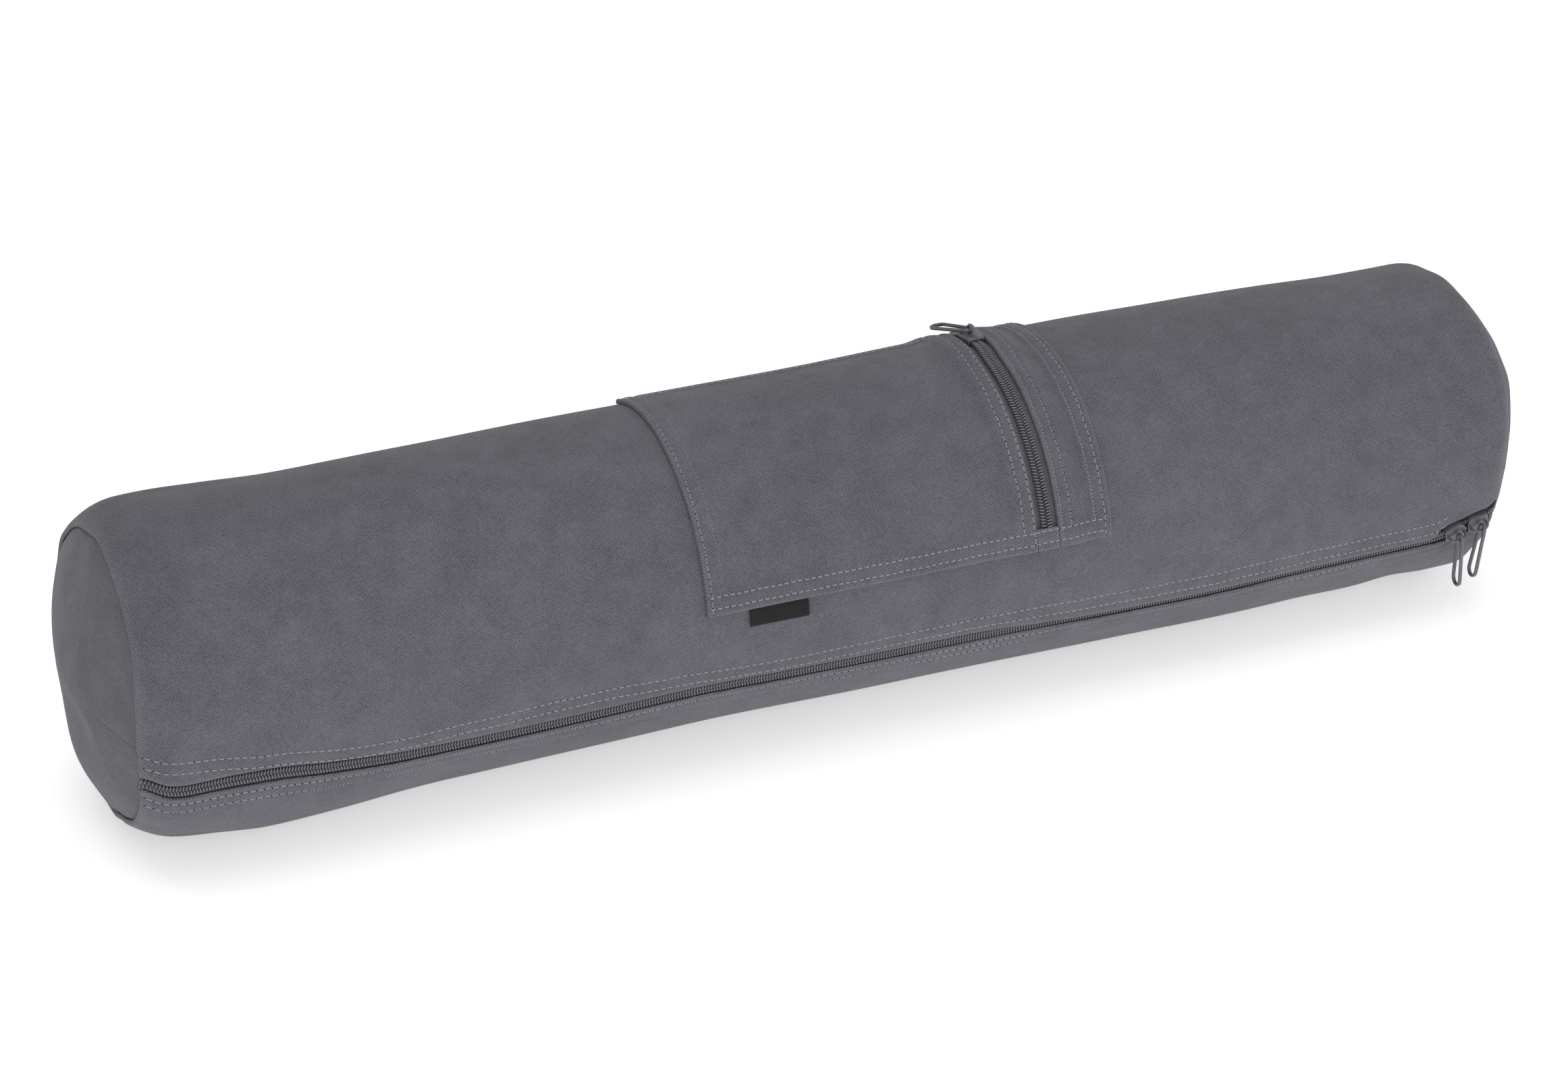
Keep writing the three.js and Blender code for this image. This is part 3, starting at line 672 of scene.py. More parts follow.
class Nodes:
    """A material's node tree, built by short calls."""

    def __init__(self, name: str) -> None:
        """Starts a material with a principled shader joined to its output."""
        self.material = bpy.data.materials.new(name)
        self.material.use_nodes = True
        self.tree = self.material.node_tree
        self.shader = self.tree.nodes["Principled BSDF"]

    def add(self, kind: str, inputs: dict | None = None, **values: object) -> bpy.types.Node:
        """Adds a node.

        Args:
            kind: The node's type.
            inputs: Values or output sockets, by input name or number.
            values: Its properties.

        Returns:
            The node.
        """
        node = self.tree.nodes.new(kind)
        for name, value in values.items():
            setattr(node, name, value)
        for name, value in (inputs or {}).items():
            self.join(value, node.inputs[name])
        return node

    def join(self, value: object, socket: bpy.types.NodeSocket) -> None:
        """Links a socket to an output, or sets its value.

        Args:
            value: A number, a colour or an output.
            socket: The input.
        """
        if isinstance(value, bpy.types.NodeSocket):
            self.tree.links.new(value, socket)
        else:
            socket.default_value = value

    def math(self, operation: str, a: object, b: object = 0.0) -> bpy.types.NodeSocket:
        """The result of a calculation on two values."""
        return self.add("ShaderNodeMath", {0: a, 1: b}, operation=operation).outputs[0]

    def noise(
        self, vector: object, scale: float, detail: float = 2.0, rough: float = 0.5
    ) -> bpy.types.NodeSocket:
        """Noise of a scale, from about 0 to 1."""
        inputs = {"Vector": vector, "Scale": scale, "Detail": detail, "Roughness": rough}
        return self.add("ShaderNodeTexNoise", inputs).outputs["Fac"]

    def total(self, start: float, *terms: tuple) -> bpy.types.NodeSocket:
        """A start plus values times their weights.

        Args:
            start: The number to start from.
            terms: Pairs of a value and its weight.

        Returns:
            The sum.
        """
        result: object = start
        for value, weight in terms:
            inputs = {0: value, 1: weight, 2: result}
            result = self.add("ShaderNodeMath", inputs, operation="MULTIPLY_ADD").outputs[0]
        return result

    def blend(self, share: object, low: tuple, high: tuple) -> bpy.types.NodeSocket:
        """A colour between two, each a colour or a socket.

        Args:
            share: How far the colour goes towards the second.
            low: The first colour.
            high: The second colour.

        Returns:
            The colour.
        """
        node = self.add("ShaderNodeMix", data_type="RGBA", clamp_factor=True)
        self.join(share, node.inputs[0])
        for value, socket in ((low, node.inputs[6]), (high, node.inputs[7])):
            self.join(value if isinstance(value, bpy.types.NodeSocket) else (*value, 1.0), socket)
        return node.outputs[2]

    def place(self) -> bpy.types.NodeSocket:
        """The place on the object, in metres."""
        return self.add("ShaderNodeTexCoord").outputs["Object"]

    def cloth(self) -> bpy.types.NodeSocket:
        """The place on the cloth, in metres along its threads."""
        return self.add("ShaderNodeUVMap", uv_map="cloth").outputs["UV"]

    def attribute(self, name: str) -> bpy.types.NodeSocket:
        """A number kept on the mesh."""
        return self.add("ShaderNodeAttribute", attribute_name=name).outputs["Fac"]

    def relief(self, height: object, depth: float, strength: float = 1.0) -> None:
        """Raises the shader's surface by a height of a known depth."""
        node = self.add("ShaderNodeBump", {"Height": height, "Distance": depth, "Strength": strength})
        self.join(node.outputs["Normal"], self.shader.inputs["Normal"])

    def set(self, **values: object) -> bpy.types.Material:
        """Sets the shader's own sockets, named with underscores, and gives the material."""
        for name, value in values.items():
            words = name.replace("_", " ")
            self.join(value, self.shader.inputs[words])
        return self.material


@dataclass(frozen=True)
class ClothFinish:
    """Woven cloth: staggered threads, slubs, mottling and paler worn folds."""

    name: str
    dark: tuple
    light: tuple
    worn: tuple
    thread_length: float = 1.19 * MM
    thread_width: float = 0.85 * MM
    weave: Weave = Weave.PLAIN
    depth: float = 0.2 * MM
    bend: float = 2.2
    dots: float = 0.34
    ribs: float = 0.13
    slubs: float = 0.9
    mottle: float = 0.42
    clouds: float = 0.28
    roughness: float = 0.92
    sheen: float = 0.1

    def build(self) -> bpy.types.Material:
        """Makes the material.

        Along a thread u and across it v, the height is 1/2 + dots sin(2 pi u / length)
        sin(pi v / width) + ribs cos(2 pi v / width). The product makes the staggered dots of a
        plain weave, and the cosine the rows. A ribbed weave has the rows alone. Noise bends
        the threads, thickens them here and there, and mottles their colour.

        Returns:
            The material.
        """
        nodes = Nodes(self.name)
        cloth, place = nodes.cloth(), nodes.place()
        bend = nodes.noise(place, 110.0, 2.0)
        split = nodes.add("ShaderNodeSeparateXYZ", {0: cloth})
        along = nodes.total(0.0, (split.outputs[0], 2 * pi / self.thread_length), (bend, self.bend))
        across = nodes.total(0.0, (split.outputs[1], pi / self.thread_width), (bend, -self.bend))
        dots = nodes.math("MULTIPLY", nodes.math("SINE", along), nodes.math("SINE", across))
        ribs = nodes.math("COSINE", nodes.math("MULTIPLY", across, 2.0))
        slubs = nodes.noise(place, 1100.0, 2.0, 0.7)
        centre = 0.5 - 0.5 * self.slubs
        if self.weave is Weave.PLAIN:
            fine = nodes.total(centre, (dots, self.dots), (ribs, self.ribs), (slubs, self.slubs))
        else:
            fine = nodes.total(centre, (ribs, self.dots), (slubs, self.slubs))
        small = nodes.noise(place, 70.0, 4.0, 0.65)
        wide = nodes.noise(place, 11.0, 3.0, 0.6)
        level = -0.5 * (self.mottle + self.clouds)
        shade = nodes.total(level, (fine, 1.0), (small, self.mottle), (wide, self.clouds))
        colour = nodes.blend(shade, self.dark, self.light)
        colour = nodes.blend(nodes.math("MULTIPLY", nodes.attribute("wear"), fine), colour, self.worn)
        nodes.relief(fine, self.depth, 0.8)
        return nodes.set(
            Base_Color=colour,
            Roughness=self.roughness,
            Sheen_Weight=self.sheen,
            Sheen_Roughness=0.5,
            Specular_IOR_Level=0.25,
        )


@dataclass(frozen=True)
class ThreadFinish:
    """Sewing thread or nylon: a plain colour with slight changes from place to place."""

    name: str
    dark: tuple
    light: tuple
    roughness: float = 0.7
    specular: float = 0.3

    def build(self) -> bpy.types.Material:
        """Makes the material: its colour follows a fine noise."""
        nodes = Nodes(self.name)
        speckle = nodes.noise(nodes.place(), 900.0, 2.0)
        return nodes.set(
            Base_Color=nodes.blend(speckle, self.dark, self.light),
            Roughness=self.roughness,
            Specular_IOR_Level=self.specular,
        )


@dataclass(frozen=True)
class MetalFinish:
    """Enamelled die-cast metal: smooth, with slight unevenness and rubbed spots."""

    name: str
    dark: tuple
    light: tuple
    roughness: float = 0.34

    def build(self) -> bpy.types.Material:
        """Makes the material: noise rubs the enamel and moves its roughness."""
        nodes = Nodes(self.name)
        place = nodes.place()
        rubbed = nodes.noise(place, 260.0, 4.0, 0.65)
        uneven = nodes.noise(place, 900.0, 2.0)
        rough = nodes.math("ADD", nodes.math("MULTIPLY", rubbed, 0.22), self.roughness - 0.11)
        nodes.relief(uneven, 0.05 * MM, 0.5)
        return nodes.set(
            Base_Color=nodes.blend(rubbed, self.dark, self.light),
            Metallic=0.35,
            Roughness=rough,
            Specular_IOR_Level=0.5,
        )


@dataclass(frozen=True)
class FloorFinish:
    """A matt white floor."""

    colour: tuple = (0.9, 0.9, 0.9)
    glow: float = 0.45

    def build(self) -> bpy.types.Material:
        """Makes the material, which glows a little as a lit table does."""
        return Nodes("white_floor").set(
            Base_Color=(*self.colour, 1.0),
            Roughness=1.0,
            Specular_IOR_Level=0.0,
            Emission_Color=(1.0, 1.0, 1.0, 1.0),
            Emission_Strength=self.glow,
        )


@dataclass(frozen=True)
class Finishes:
    """Every finish of the bag."""

    canvas: bpy.types.Material
    tape: bpy.types.Material
    coil: bpy.types.Material
    cord: bpy.types.Material
    thread: bpy.types.Material
    hole: bpy.types.Material
    metal: bpy.types.Material
    ribbon: bpy.types.Material

    @classmethod
    def build(cls) -> "Finishes":
        """Makes all the materials.

        Returns:
            The finishes.
        """
        return cls(
            canvas=ClothFinish(
                "slate_canvas", (0.036, 0.035, 0.042), (0.182, 0.178, 0.206), (0.19, 0.186, 0.215)).build(),
            tape=ClothFinish(
                "zip_tape", (0.045, 0.044, 0.051), (0.17, 0.167, 0.188), (0.16, 0.16, 0.175),
                thread_width=0.6 * MM, weave=Weave.RIBBED, depth=0.1 * MM).build(),
            coil=ThreadFinish("nylon_coil", (0.1, 0.099, 0.108), (0.19, 0.188, 0.204), 0.4, 0.5).build(),
            # core cord: a real part, coloured near black as painted shade inside the coil's turns
            cord=ThreadFinish("coil_core_painted_shade", (0.03, 0.03, 0.034), (0.06, 0.06, 0.066)).build(),
            thread=ThreadFinish("sewing_thread", (0.25, 0.245, 0.285), (0.38, 0.372, 0.43)).build(),
            # needle holes: near black and matt, painted shade where each stitch dives into the cloth
            hole=ThreadFinish("needle_hole", (0.012, 0.012, 0.014), (0.03, 0.03, 0.034), 1.0, 0.0).build(),
            metal=MetalFinish("grey_enamel", (0.085, 0.085, 0.095), (0.17, 0.17, 0.186)).build(),
            ribbon=ClothFinish(
                "black_ribbon", (0.003, 0.003, 0.003), (0.022, 0.022, 0.025), (0.3, 0.3, 0.32),
                thread_width=0.35 * MM, weave=Weave.RIBBED, depth=0.06 * MM, mottle=0.2).build(),
        )


@dataclass(frozen=True)
class Stitching:
    """Straight machine stitches: short raised threads that dive into the cloth at each hole."""

    pitch: float = 3.3 * MM
    length: float = 2.7 * MM
    thickness: float = 0.56 * MM
    rise: float = 0.3 * MM
    sunk: float = 0.12 * MM
    sway: float = 0.12 * MM
    sides: int = 6
    rings: int = 6
    # radius of the flat dark dome painted as shade at each needle hole
    hole: float = 0.42 * MM

    def row(self, surface: Surface, place: Place, start: float, end: float, across: float) -> None:
        """Adds one row of stitches to a surface.

        Each stitch is a tube whose middle line is half a sine high, with a radius that
        shrinks towards both ends. A flat dark dome at each needle hole is painted shade where the thread
        dives in.

        Args:
            surface: The surface that gathers them.
            place: Gives points from a length along the row and a distance across it.
            start: Where the row starts.
            end: Where it ends.
            across: The row's place across.
        """
        count = int((end - start) / self.pitch)
        first = start + (np.arange(count) + 0.5 * (1 - self.length / self.pitch)) * self.pitch
        share = np.linspace(0, 1, self.rings)
        u = first[:, None] + share * self.length
        v = np.full_like(u, across) + self.sway * np.sin(first[:, None] * 3571.0)
        along, out = outward(place, u, v)
        side = np.cross(out, along)
        lift = self.rise * np.sin(pi * share) - self.sunk
        path = place(u, v) + out * lift[:, None]
        taper = 0.35 + 0.65 * np.sin(pi * share) ** 0.5
        section = circle(self.sides, self.thickness / 2)[None] * taper[:, None, None]
        surface.tubes(sweep(path, side, out, section[None]))
        self._holes(surface, place, first - 0.5 * (self.pitch - self.length), across)

    def _holes(self, surface: Surface, place: Place, u: Array, across: float) -> None:
        """Adds a flat dark dome between each two stitches, painted shade in the needle hole: rings that
        shrink as they rise.

        Args:
            surface: The surface that gathers them.
            place: Gives points, as for the row.
            u: The holes' places along the row.
            across: The row's place across.
        """
        v = np.full_like(u, across)
        along, out = outward(place, u, v)
        side = np.cross(out, along)
        centre = place(u, v)
        heights = np.array([-0.1, 0.03, 0.06]) * MM
        shares = np.array([1.0, 0.8, 0.3])
        path = centre[:, None] + out[:, None] * heights[:, None]
        section = circle(self.sides, self.hole)[None] * shares[:, None, None]
        side, along = (np.broadcast_to(way[:, None], path.shape) for way in (side, along))
        surface.tubes(sweep(path, side, along, section[None]), finish=1)


@dataclass(frozen=True)
class SliderSize:
    """How long a slider is, and how it parts the two coil rows."""

    length: float = 10.5 * MM
    post: float = 2.6 * MM
    spread: float = 0.95 * MM

    def part(self, from_nose: Array, gap: float) -> Array:
        """How far each coil row stands off the middle: evenly more from the tail to the post.

        Args:
            from_nose: Distances from the slider's nose towards its tail.
            gap: The clearance on both sides of the post.

        Returns:
            The distances.
        """
        share = (self.length - from_nose) / (self.length - self.post - 2 * gap)
        return self.spread * np.clip(share, 0, 1)


@dataclass
class CanvasTube:
    """The tube of canvas between the two end seams, open along the zip."""

    form: BagForm
    finishes: Finishes
    slot_half: float = 4.6 * MM
    slot_half_at_sliders: float = 5.75 * MM
    slot_edges: tuple = (
        SlotEdge(-0.50, 0.80, 1.00),
        SlotEdge(0.08, 0.80, 1.00),
        SlotEdge(0.18, 0.50, 1.00),
        SlotEdge(0.42, 0.50, 1.00),
    )
    slider_x: float = 306.57 * MM
    slider: SliderSize = SliderSize()
    flap_lift: float = 1.9 * MM
    flap_width: float = 14 * MM
    hem_rounding: float = 1.1 * MM
    lip_radius: float = 1.7 * MM
    lip_turn: float = radians(165)
    flare_length: float = 8 * MM
    fine: tuple = in_mm(0, 0.15, 0.4, 0.8, 1.4, 2.2, 3.2, 4.4, 5.8, 7.4, 9.2, 11.2, 13.4)
    ends: tuple = in_mm(0, 0.6, 1.3, 2.1, 3.0, 4.1, 5.4, 7.0, 9.0, 11.5, 14.5, 18, 22, 26.5, 31.5)
    station_step: float = 3 * MM
    girth_step: float = 2.75 * MM
    pinch_depth: float = 0.32 * MM
    pinch_reach: float = 0.9 * MM
    thread_bed: float = 0.3 * MM
    stitch_start: float = 1 * MM
    hem_wear: float = 0.7
    hem_wear_reach: float = 1.5 * MM
    seam_wear: float = 0.5
    seam_wear_reach: float = 2.5 * MM
    stitch_end: float = 26 * MM
    stitch_spacing: float = 5.2 * MM
    stitch_places: tuple = (
        StitchPlace(-0.50, 14.6 * MM, 14.0 * MM),
        StitchPlace(-0.48, 15.6 * MM, 13.0 * MM),
        StitchPlace(-0.42, 10.8 * MM, 13.2 * MM),
        StitchPlace(-0.36, 10.2 * MM, 12.6 * MM),
        StitchPlace(-0.27, 14.0 * MM, 12.2 * MM),
        StitchPlace(-0.20, 15.0 * MM, 12.6 * MM),
        StitchPlace(-0.07, 11.4 * MM, 12.4 * MM),
        StitchPlace(0.06, 12.8 * MM, 12.6 * MM),
        StitchPlace(0.30, 12.0 * MM, 12.6 * MM),
        StitchPlace(0.46, 11.6 * MM, 12.4 * MM),
    )
    stitches: Stitching = Stitching(pitch=3.35 * MM)

    def slot(self, x: Array, side: str) -> Array:
        """The half width that a canvas edge leaves open: its table, and room for the sliders.

        Args:
            x: Places along the bag.
            side: Which edge, upper or lower.

        Returns:
            The half widths.
        """
        usual = self.slot_half * look_up(self.slot_edges, "along", side, x / self.form.length)
        flare_end = self.slider_x - self.slider.length / 2
        flare = ease(x, flare_end - self.flare_length, flare_end - self.form.gap)
        return usual + (self.slot_half_at_sliders - usual) * flare

    def overhang(self, x: Array, distance: Array) -> Array:
        """How far the upper edge is lifted where it hangs over the coil, at a distance from it."""
        covers = 1 - ease(self.slot(x, "upper"), self.slot_half * 0.5, self.slot_half * 0.95)
        return self.flap_lift * covers * (1 - ease(distance, 0, self.flap_width))

    def stations(self) -> tuple[Array, Array, Array, Array]:
        """The tube's lengthwise profile, past both seams: along it, and turned in at each end.

        Between the seams x runs evenly. Past a seam the profile is an arc that goes on from
        the tube's slope until it points back inside.

        Returns:
            The x, the extra drop, and the two coordinates of the way out, at each station.
        """
        form = self.form
        x = graded(form.length, self.ends, self.station_step) - form.half
        drop = np.zeros_like(x)
        step = 0.1 * MM
        slope = (form.seam_turn(x + step) - form.seam_turn(x - step)) / (2 * step)
        slope[0], slope[-1] = (
            -form.left_seam.drop * form.seam_curve / form.left_seam.round,
            form.right_seam.drop * form.seam_curve / form.right_seam.round,
        )
        size = np.hypot(1, slope)
        way_x, way_out = slope / size, 1 / size
        parts = []
        for side, start in ((-1, np.arctan(-slope[0])), (1, np.arctan(slope[-1]))):
            turn = np.linspace(start, self.lip_turn, 9)[1:]
            run = self.lip_radius * (np.sin(turn) - np.sin(start))
            fall = self.lip_radius * (np.cos(start) - np.cos(turn))
            parts.append((side * (form.half + run), fall, side * np.sin(turn), np.cos(turn)))
        left, right = parts
        whole = zip(left, (x, drop, way_x, way_out), right)
        return tuple(np.concatenate([a[::-1], b, c]) for a, b, c in whole)

    def build(self) -> None:
        """Makes the tube as a wall of canvas, and the stitch rows beside its zip."""
        form = self.form
        x, drop, way_x, way_out = (part[:, None] for part in self.stations())
        inside = np.clip(x, -form.half, form.half)
        start = form.beside_zip(inside, self.slot(inside, "upper"))
        end = form.beside_zip(inside, -self.slot(inside, "lower")) + 2 * pi
        girth = 2 * pi * form.radius - 2 * self.slot_half
        share = graded(girth, self.fine, self.girth_step)[None] / girth
        angle = start + (end - start) * share
        from_edge = np.minimum(share, 1 - share) * girth
        lift = self.overhang(inside, share * girth)
        short = np.maximum(0, self.hem_rounding - from_edge)
        rounding = self.hem_rounding - np.sqrt(np.maximum(self.hem_rounding**2 - short**2, 0))
        pinch = self._pinch(inside, from_edge, share < 0.5)

        def face(depth: Array) -> Array:
            """The wall's face at a depth under its outer one.

            Args:
                depth: Depths under the outer face.

            Returns:
                The points.
            """
            moved = form.point(inside, angle, lift - drop - depth * way_out)
            moved[..., 0] = x - depth * way_x + form.lean(inside, angle)
            return moved

        cloth = np.stack(np.broadcast_arrays(x + 0 * angle, angle * form.radius), -1)
        wear = self.hem_wear * bump(from_edge, self.hem_wear_reach)
        wear = wear + self.seam_wear * bump(form.half - np.abs(x), self.seam_wear_reach)
        surface = Surface()
        inner = face(form.canvas - 0.5 * rounding)
        surface.wall(face(rounding + pinch), inner, cloth, np.minimum(wear, 1))
        surface.build("canvas_tube", [self.finishes.canvas], "root", "canvas", ("body_panel",))
        self._build_stitches()

    def row_place(self, x: Array, side: str, row: int) -> Array:
        """A stitch row's distance from the zip's middle: the table, less a spacing for row 1."""
        far = look_up(self.stitch_places, "along", side, x / self.form.length)
        return far - row * self.stitch_spacing

    def _pinch(self, x: Array, distance: Array, is_upper: Array) -> Array:
        """How far the stitch rows draw the cloth in, at distances from the canvas edges.

        Args:
            x: Places along the bag.
            distance: Distances from the nearer edge of the slot.
            is_upper: True where that edge is the upper one.

        Returns:
            The depths: a narrow bell at each row.
        """
        total = 0.0
        for row in (0, 1):
            upper = self.row_place(x, "upper", row) - self.slot(x, "upper")
            lower = self.row_place(x, "lower", row) - self.slot(x, "lower")
            across = distance - np.where(is_upper, upper, lower)
            total = total + self.pinch_depth * bump(across, self.pinch_reach)
        return total

    def _build_stitches(self) -> None:
        """Makes the four rows of stitches that run beside the zip."""
        form = self.form
        surface = Surface()
        for side, name in ((1, "upper"), (-1, "lower")):
            for row in (0, 1):

                def place(
                    u: Array, v: Array, side: int = side, name: str = name, row: int = row
                ) -> Array:
                    """A point of the cloth's face near the row, v across from it.

                    Args:
                        u: Places along the bag.
                        v: Distances across, away from the zip.
                        side: 1 above the zip's middle and -1 below it.
                        name: Which side's rows, upper or lower.
                        row: 0 for the far row and 1 for the near one.

                    Returns:
                        The points.
                    """
                    distance = self.row_place(u, name, row) + v
                    lift = self.overhang(u, distance - self.slot(u, name)) if side > 0 else 0.0
                    return form.point(u, form.beside_zip(u, side * distance), lift - self.thread_bed)

                end = form.half - self.stitch_end
                self.stitches.row(surface, place, -form.half + self.stitch_start, end, 0.0)
        finishes = [self.finishes.thread, self.finishes.hole]
        surface.build("zip_stitching", finishes, "root", "canvas")


@dataclass
class EndPanel:
    """A round end panel, sewn into one end of the tube and bulged by what fills the bag."""

    form: BagForm
    finishes: Finishes
    side: int
    left_bulge: float = 15 * MM
    right_bulge: float = 18 * MM
    left_fullness: float = 0.88
    right_fullness: float = 0.55
    rings: int = 72
    spokes: int = 320
    crease: float = 0.008
    sink: float = 2.2 * MM
    centring: float = 0.85
    ripple: float = 0.048
    swellings: tuple = (
        Swelling(-0.16, -0.20, 0.16, -0.10, 0.45),
        Swelling(0.17, -0.62, 0.20, -0.05, 0.45),
    )
    ridge: tuple = (
        Ridge(-1.00, -0.60),
        Ridge(-0.60, -0.80),
        Ridge(-0.41, -0.66),
        Ridge(-0.20, -0.48),
        Ridge(0.00, -0.29),
        Ridge(0.38, -0.19),
        Ridge(0.72, -0.15),
        Ridge(1.00, 0.00),
    )

    @property
    def bulge(self) -> float:
        """How far the panel's middle stands over its seam plane."""
        return self.left_bulge if self.side < 0 else self.right_bulge

    def dome(self, height: Array, across: Array) -> Array:
        """The bulge, in bulge heights, at a place in seam radii.

        A dome is one minus the squared reach, to the power of the fullness. On the left panel
        it is cut off by a slope that rises from the rim to the ridge line, and the two meet in
        a soft minimum.

        Args:
            height: Places up from the middle.
            across: Places towards the back.

        Returns:
            The bulge.
        """
        fullness = self.left_fullness if self.side < 0 else self.right_fullness
        dome = np.maximum(0, 1 - height**2 - across**2) ** fullness
        if self.side > 0:
            return dome
        rim = np.sqrt(np.maximum(0, 1 - height**2))
        ridge = np.maximum(-rim, look_up(self.ridge, "height", "across", height))
        crest = np.maximum(0, 1 - height**2 - ridge**2) ** fullness
        width = ridge + rim
        slope = crest * np.maximum(across + rim, 0) / np.maximum(width, 1e-6)
        rise = slope - dome
        soft = self.crease * ease(width, 0.0, 0.25) * dome
        cut = (dome + slope - np.sqrt(rise**2 + soft**2)) / 2 + soft / 2
        share = ease(width, 0.0, 0.3)
        creased = dome + (np.minimum(cut, dome) - dome) * share
        for place in self.swellings:
            reach = bump(height - place.up, place.up_reach) * bump(across - place.across, place.across_reach)
            creased = creased + place.height * reach * dome**0.5
        return creased

    def build(self) -> None:
        """Makes the panel as a wall: rings out to the seam, and on into it."""
        form = self.form
        share = (np.sin(np.linspace(0, pi / 2, self.rings)) ** self.centring)[:, None]
        angle = np.linspace(0, 2 * pi, self.spokes)[None]
        rim_x = self.side * form.half
        middle = np.array([rim_x, 0.0, form.axis_height])

        def face(depth: float) -> Array:
            """The wall's face at a depth under its outer one.

            Args:
                depth: A depth under the outer face.

            Returns:
                The points.
            """
            rim = form.point(np.full_like(angle, rim_x), angle, -form.canvas - form.gap - depth)
            points = middle + (rim - middle) * share[..., None]
            across = -share * np.cos(angle)
            height = share * np.sin(angle)
            dome = self.dome(height, across)
            ripple = self.ripple * np.sin(9 * angle + 1.3) * share**3 * (1 - share) ** 0.5
            sunk = self.sink * share**30
            points[..., 0] += self.side * ((self.bulge - depth) * (dome + ripple) - sunk)
            return points

        cloth = np.stack([share * np.cos(angle), share * np.sin(angle)], -1) * form.radius
        wear = 0.5 * bump(1 - share, 0.05) + 0 * angle
        surface = Surface()
        surface.wall(face(0.0), face(form.canvas), cloth, wear)
        name = "left" if self.side < 0 else "right"
        stands_for = (f"end_panel_{name}",)
        surface.build(f"round_end_{name}", [self.finishes.canvas], "root", "canvas", stands_for, weld=True)


@dataclass(frozen=True)
class CoilMaker:
    """A nylon coil: a wire wound flat, with a cord through it."""

    width: float = 2.75 * MM
    thick: float = 2.2 * MM
    pitch: float = 1.35 * MM
    wire: float = 0.36 * MM
    points_per_turn: int = 14
    sides: int = 6
    bite: float = 0.2 * MM
    core_sides: int = 8
    core_step: float = 3 * MM

    def add(self, surface: Surface, place: Callable, start: float, end: float, phase: float) -> None:
        """Adds a coil row to a surface.

        The wire's middle line is an ellipse in the row's width and height, drawn out evenly
        along the row: across = -a cos t, height = b sin t, along = pitch t / 2 pi.

        Args:
            surface: The surface that gathers it.
            place: Gives points from lengths along, distances across and depths under the crown.
            start: Where the row starts.
            end: Where it ends.
            phase: The share of a turn that it starts with.
        """
        turns = int((end - start) / self.pitch)
        t = np.arange(turns * self.points_per_turn + 1) / self.points_per_turn
        along = start + t * self.pitch
        turn = 2 * pi * (t + phase)
        half_width = self.width / 2 - self.wire
        half_height = self.thick / 2 - self.wire
        across = 0.5 * self.width - half_width * np.cos(turn) - self.bite * (np.cos(turn) > 0.6)
        path = place(along, across, self.thick / 2 - half_height * np.sin(turn))
        tangent = unit(np.gradient(path, axis=0))
        out = place(along, across, 0 * along) - place(along, across, 0 * along + self.thick)
        side = unit(np.cross(tangent, unit(out)))
        up = np.cross(side, tangent)
        surface.tubes(sweep(path[None], side[None], up[None], circle(self.sides, self.wire)))
        self._add_core(surface, place, start, end)

    def _add_core(self, surface: Surface, place: Callable, start: float, end: float) -> None:
        """Adds the cord inside the turns, a flat tube along the row; the cord is real, and its near-black
        colour is painted shade inside the coil.

        Args:
            surface: The surface that gathers it.
            place: Gives points from lengths along, distances across and depths under the crown.
            start: Where it starts.
            end: Where it ends.
        """
        along = np.linspace(start, end, max(self.core_sides, int((end - start) / self.core_step)))
        middle = place(along, 0 * along + self.width / 2, 0 * along + self.thick / 2)
        tangent = unit(np.gradient(middle, axis=0))
        out = unit(place(along, 0 * along + self.width / 2, 0 * along) - middle)
        side = unit(np.cross(tangent, out))
        section = circle(self.core_sides, 1.0) * (np.array([self.width, self.thick]) / 2 - 2 * self.wire)
        surface.tubes(sweep(middle[None], side[None], out[None], section), finish=1)


